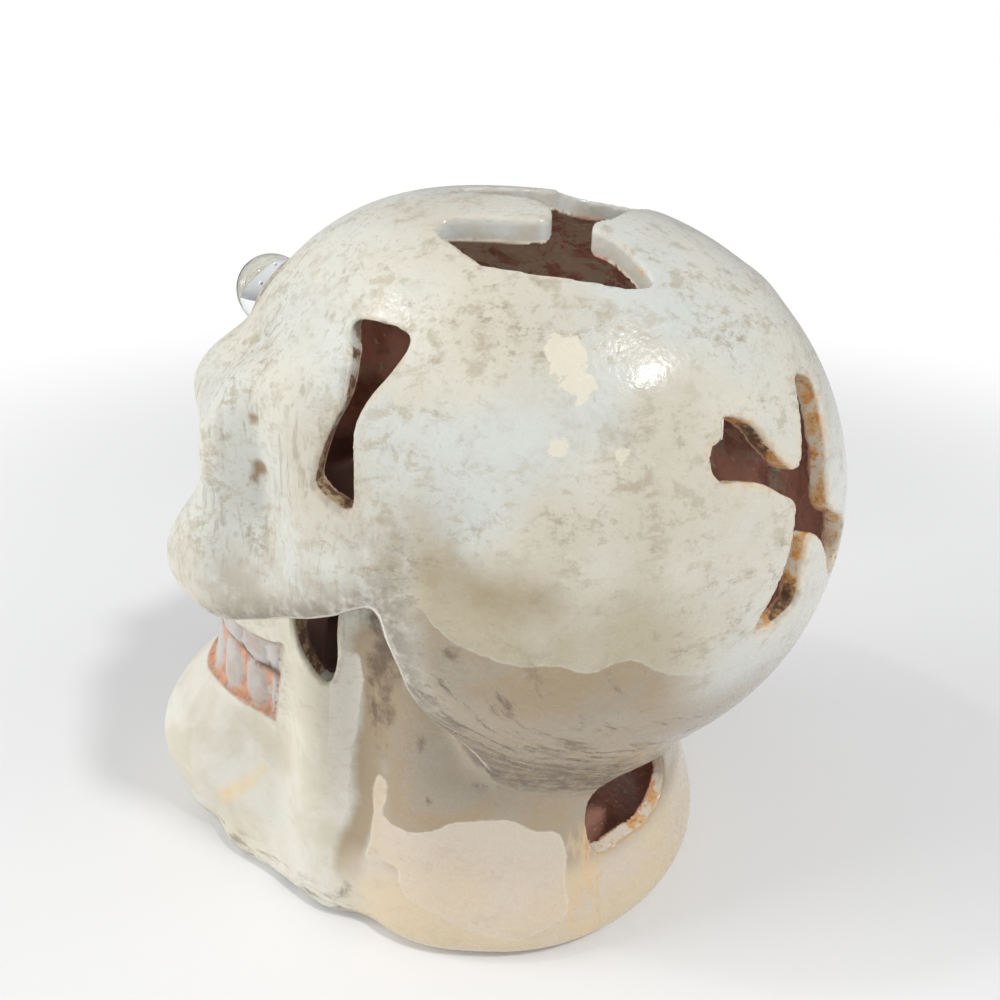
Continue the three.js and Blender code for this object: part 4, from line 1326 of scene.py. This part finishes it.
candle = {
    "centre": (0, 2),
    "cup": 19,
    "height": 17,
    "lip": 0.9,
    "taper": 0.8,
    "sheet": 0.5,
    "flutes": 48,
    "fluteDepth": 0.2,
    "wax": 12.5,
    "dish": 0.8,
    "tab": 6,
    "tabBase": 0.8,
    "tabSheet": 0.5,
    "sleeve": 3,
    "wick": 1,
    "wickRows": 60,
    "wickHole": 1.3,
}
cupFoot = [(-3.6, 0.15), (-2.6, 0), (-0.6, 0), (-0.1, 0.45)]  # from the foot's edge, then the height
cupFootInside = [(-0.75, 0.75), (-1.3, 0.45), (-2.8, 0.45), (-3.4, 0.6), (-4.4, 1.3)]
wallShares = (0, 0.04, 0.34, 0.67, 0.96, 1)  # heights of the rings in the cup's wall


def turned(name, section, segments, closed):
    # Drags a ring of points along a section of radius and height pairs
    deselectAll()
    start = section[0]
    fill = "NOTHING" if closed else "TRIFAN"
    bpy.ops.mesh.primitive_circle_add(
        vertices=segments, radius=start[0] / thousand, fill_type=fill, location=(0, 0, start[1] / thousand))
    piece = bpy.context.object
    piece.name = name
    applyPlace(piece)
    bpy.ops.object.mode_set(mode="EDIT")
    bpy.ops.mesh.select_all(action="SELECT")
    before = start
    steps = section[1:] + [start] if closed else section[1:]
    for radius, height in steps:
        bpy.ops.mesh.extrude_region_move(
            TRANSFORM_OT_translate={"value": (0, 0, (height - before[1]) / thousand)})
        grow = radius / before[0]
        bpy.ops.transform.resize(value=(grow, grow, 1), center_override=(0, 0, height / thousand))
        before = (radius, height)
    bpy.ops.mesh.select_all(action="SELECT")
    bpy.ops.mesh.remove_doubles(threshold=0.000002)
    bpy.ops.mesh.normals_make_consistent(inside=False)
    bpy.ops.object.mode_set(mode="OBJECT")
    return piece


def closeEnd(piece):
    # Fills the ring that a turned section leaves open
    onlySelect(piece)
    bpy.ops.object.mode_set(mode="EDIT")
    bpy.ops.mesh.select_all(action="DESELECT")
    bpy.ops.mesh.select_mode(type="EDGE")
    bpy.ops.mesh.select_non_manifold()
    bpy.ops.mesh.edge_face_add()
    bpy.ops.mesh.select_all(action="SELECT")
    bpy.ops.mesh.normals_make_consistent(inside=False)
    bpy.ops.object.mode_set(mode="OBJECT")


def standOnTable(piece):
    x, y = candle["centre"]
    piece.data.transform(Matrix.Translation((x / thousand, y / thousand, 0)))


def cupMaterial():
    m = Maker("pressedAluminium")
    drawn = m.noise(700, 4, 0.6, stretch=(1, 1, 0.12))
    dull = m.noise(90, 4, 0.6, warp=0.5)
    m.set(Base_Color=m.mix(m.step(dull, 0.35, 0.7), (0.74, 0.74, 0.75), (0.56, 0.56, 0.58)), Metallic=1.0)
    m.set(Roughness=m.step(drawn, 0.3, 0.7, 0.22, 0.42), Normal=m.bump(drawn, 0.25, 0.00012))
    return m


def makeCup(metal):
    outside, sheet, lip = candle["cup"], candle["sheet"], candle["lip"]
    foot, top = outside - candle["taper"], candle["height"]
    section = [(3, 0.9), (foot - 4.5, 0.9)] + [(foot + out, height) for out, height in cupFoot]
    section += [(foot + candle["taper"] * share, 1 + (top - lip - 1) * share) for share in wallShares]
    section += [(outside + 0.45, top - lip), (outside + lip, top - lip / 2), (outside + 0.5, top)]
    section += [(outside - 0.1, top - 0.05), (outside - sheet, top - lip / 2)]
    section += [(outside - sheet - 0.06 - candle["taper"] * (1 - share), 1 + (top - lip - 1) * share)
                for share in wallShares[-2:0:-1]]
    section += [(foot + out, height) for out, height in cupFootInside] + [(3, 1.3)]
    cup = turned("cup", section, candle["flutes"] * 4, False)
    closeEnd(cup)
    for vertex in cup.data.vertices:
        height = vertex.co.z * thousand
        reach = math.hypot(vertex.co.x, vertex.co.y)
        if 1.1 < height < top - 1.2 and reach * thousand > foot - 1.2:
            around = math.atan2(vertex.co.y, vertex.co.x)
            push = candle["fluteDepth"] * (math.cos(candle["flutes"] * around) - 1) / thousand
            vertex.co.x *= 1 + push / reach
            vertex.co.y *= 1 + push / reach
    standOnTable(cup)
    finishPiece(cup, "teaLightCup", "candle_cup", "candle", metal)


def makeTab(metal):
    tab, hole = candle["tab"], candle["wickHole"]
    base, sheet = candle["tabBase"], candle["tabSheet"]
    sleeve, top = hole + sheet, base + candle["sleeve"]
    section = [(hole, base), (tab - 0.2, base), (tab, base + 0.25), (tab - 0.2, base + sheet),
               (tab - 1.2, base + sheet), (tab - 1.6, base + sheet - 0.08), (sleeve + 1, base + sheet - 0.08),
               (sleeve + 0.3, base + sheet + 0.1), (sleeve, base + sheet + 0.5), (sleeve, base + 2.6),
               (sleeve - 0.15, top), (hole, top)]
    stamped = turned("tab", section, 48, True)
    for vertex in stamped.data.vertices:
        # The sleeve is nipped on two sides to hold the wick
        if 2.2 < vertex.co.z * thousand:
            vertex.co.x *= 0.94
    standOnTable(stamped)
    finishPiece(stamped, "wickTab", "wick_tab", "candle", metal)


def makeWax():
    rim = candle["cup"] - candle["sheet"] - candle["taper"] - 0.3
    top, dish, hole = candle["wax"], candle["dish"], candle["wickHole"]
    section = [(6.3, 0.8), (rim, 0.8), (rim + 0.12, top - 0.6), (rim - 0.15, top), (rim - 0.7, top - 0.22),
               (rim - 2, top - 0.42), (rim - 5, top - 0.6), (9, top - 0.72), (5, top - dish),
               (2.6, top - dish + 0.05), (1.7, top - dish + 0.3), (hole + 0.02, top - dish + 0.55),
               (hole, 4.1), (2.1, 4.1), (2.1, 1.6), (6.3, 1.6)]
    wax = turned("wax", section, 96, True)
    for vertex in wax.data.vertices:
        height = vertex.co.z * thousand
        reach = math.hypot(vertex.co.x, vertex.co.y) * thousand
        if height > top - 1.2 and 2.4 < reach < rim - 0.5:
            around = math.atan2(vertex.co.y, vertex.co.x)
            vertex.co.z += 0.07 * math.sin(3 * around + reach * 0.5) * math.sin(reach * 0.9) / thousand
    standOnTable(wax)
    m = Maker("whiteWax")
    clouds = m.noise(130, 4, 0.55)
    m.set(Base_Color=m.mix(m.step(clouds, 0.35, 0.7), (0.85, 0.82, 0.74), (0.76, 0.72, 0.62)))
    m.set(Subsurface_Weight=0.35, Subsurface_Radius=(0.004, 0.003, 0.002))
    m.set(Roughness=m.step(m.noise(260, 3, 0.6), 0.3, 0.7, 0.3, 0.5), Normal=m.bump(clouds, 0.35, 0.0004))
    finishPiece(wax, "teaLightWax", "candle_wax", "candle", m)


def makeWick():
    rows = candle["wickRows"]
    low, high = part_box("wick")
    bottom, top = low.z * thousand, high.z * thousand
    radius = candle["wick"]
    section = [(radius * 0.55, bottom), (radius * 0.9, bottom + 0.1)]
    section += [(radius, bottom + 0.2 + (top - bottom - 0.5) * i / rows) for i in range(rows + 1)]
    section += [(radius * 0.85, top - 0.12), (radius * 0.5, top)]
    strand = turned("wick", section, 24, False)
    closeEnd(strand)
    for vertex in strand.data.vertices:
        # Two sets of strands that cross, as in a braid
        around = math.atan2(vertex.co.y, vertex.co.x)
        height = vertex.co.z * thousand
        weave = max(abs(math.cos(1.5 * around + 1.6 * height)), abs(math.cos(1.5 * around - 1.6 * height)))
        vertex.co.x *= 0.80 + 0.2 * weave
        vertex.co.y *= 0.80 + 0.2 * weave
    standOnTable(strand)
    m = Maker("wickCotton")
    fibres = m.noise(3200, 4, 0.7, stretch=(1, 1, 0.25))
    soot = m.step(m.math("ADD", m.axis("Z"), m.times(m.noise(900, 3, 0.6), 0.003)), 0.0165, 0.0195)
    cotton = m.mix(m.step(fibres, 0.35, 0.7), (0.80, 0.77, 0.68), (0.60, 0.56, 0.47))
    m.set(Base_Color=m.mix(m.times(soot, 0.85), cotton, (0.03, 0.027, 0.025)))
    m.set(Roughness=m.step(fibres, 0.3, 0.7, 0.75, 0.95), Normal=m.bump(fibres, 0.7, 0.00015))
    finishPiece(strand, "cottonWick", "wick", "candle", m)


sharedMetal = cupMaterial()
makeCup(sharedMetal)
makeTab(sharedMetal)
makeWax()
makeWick()
print("tea light made")


# Floor and lights

def setStage():
    deselectAll()
    bpy.ops.mesh.primitive_circle_add(vertices=64, radius=stage["floorSize"], fill_type="NGON")
    floor = bpy.context.object
    floor.name = "paleFloor"
    paint = Maker("paleFloorPaint")
    paint.set(Base_Color=stage["floorShade"], Roughness=0.8, Specular_IOR_Level=0.1)
    glow = paint.node("ShaderNodeEmission")
    rays = paint.node("ShaderNodeLightPath")
    far = paint.node("ShaderNodeVectorMath", operation="LENGTH")
    paint.join(paint.place, far.inputs[0])
    fade = paint.step(far.outputs["Value"], *stage["floorFade"])
    blend = paint.node("ShaderNodeMixShader")
    paint.join(paint.times(fade, rays.outputs["Is Camera Ray"]), blend.inputs[0])
    paint.join(paint.shader.outputs[0], blend.inputs[1])
    paint.join(glow.outputs[0], blend.inputs[2])
    paint.join(blend.outputs[0], paint.output.inputs["Surface"])
    wear(floor, paint)
    for lamp in stage["lamps"]:
        addSoftbox(*lamp)
    world = bpy.data.worlds.new("paleSky")
    bpy.context.scene.world = world
    world.use_nodes = True
    nodes, links = world.node_tree.nodes, world.node_tree.links
    sky = nodes["Background"]
    sky.inputs["Color"].default_value = (*stage["skyShade"], 1)
    sky.inputs["Strength"].default_value = stage["skyLevel"]
    plain = nodes.new("ShaderNodeBackground")
    plain.inputs["Color"].default_value = (1, 1, 1, 1)
    rays = nodes.new("ShaderNodeLightPath")
    either = nodes.new("ShaderNodeMath")
    either.operation = "MAXIMUM"
    links.new(rays.outputs["Is Camera Ray"], either.inputs[0])
    links.new(rays.outputs["Is Transmission Ray"], either.inputs[1])
    pick = nodes.new("ShaderNodeMixShader")
    links.new(either.outputs[0], pick.inputs[0])
    links.new(sky.outputs[0], pick.inputs[1])
    links.new(plain.outputs[0], pick.inputs[2])
    links.new(pick.outputs[0], nodes["World Output"].inputs[0])
    bpy.context.scene.view_settings.view_transform = "Standard"


setStage()
print("stage set")
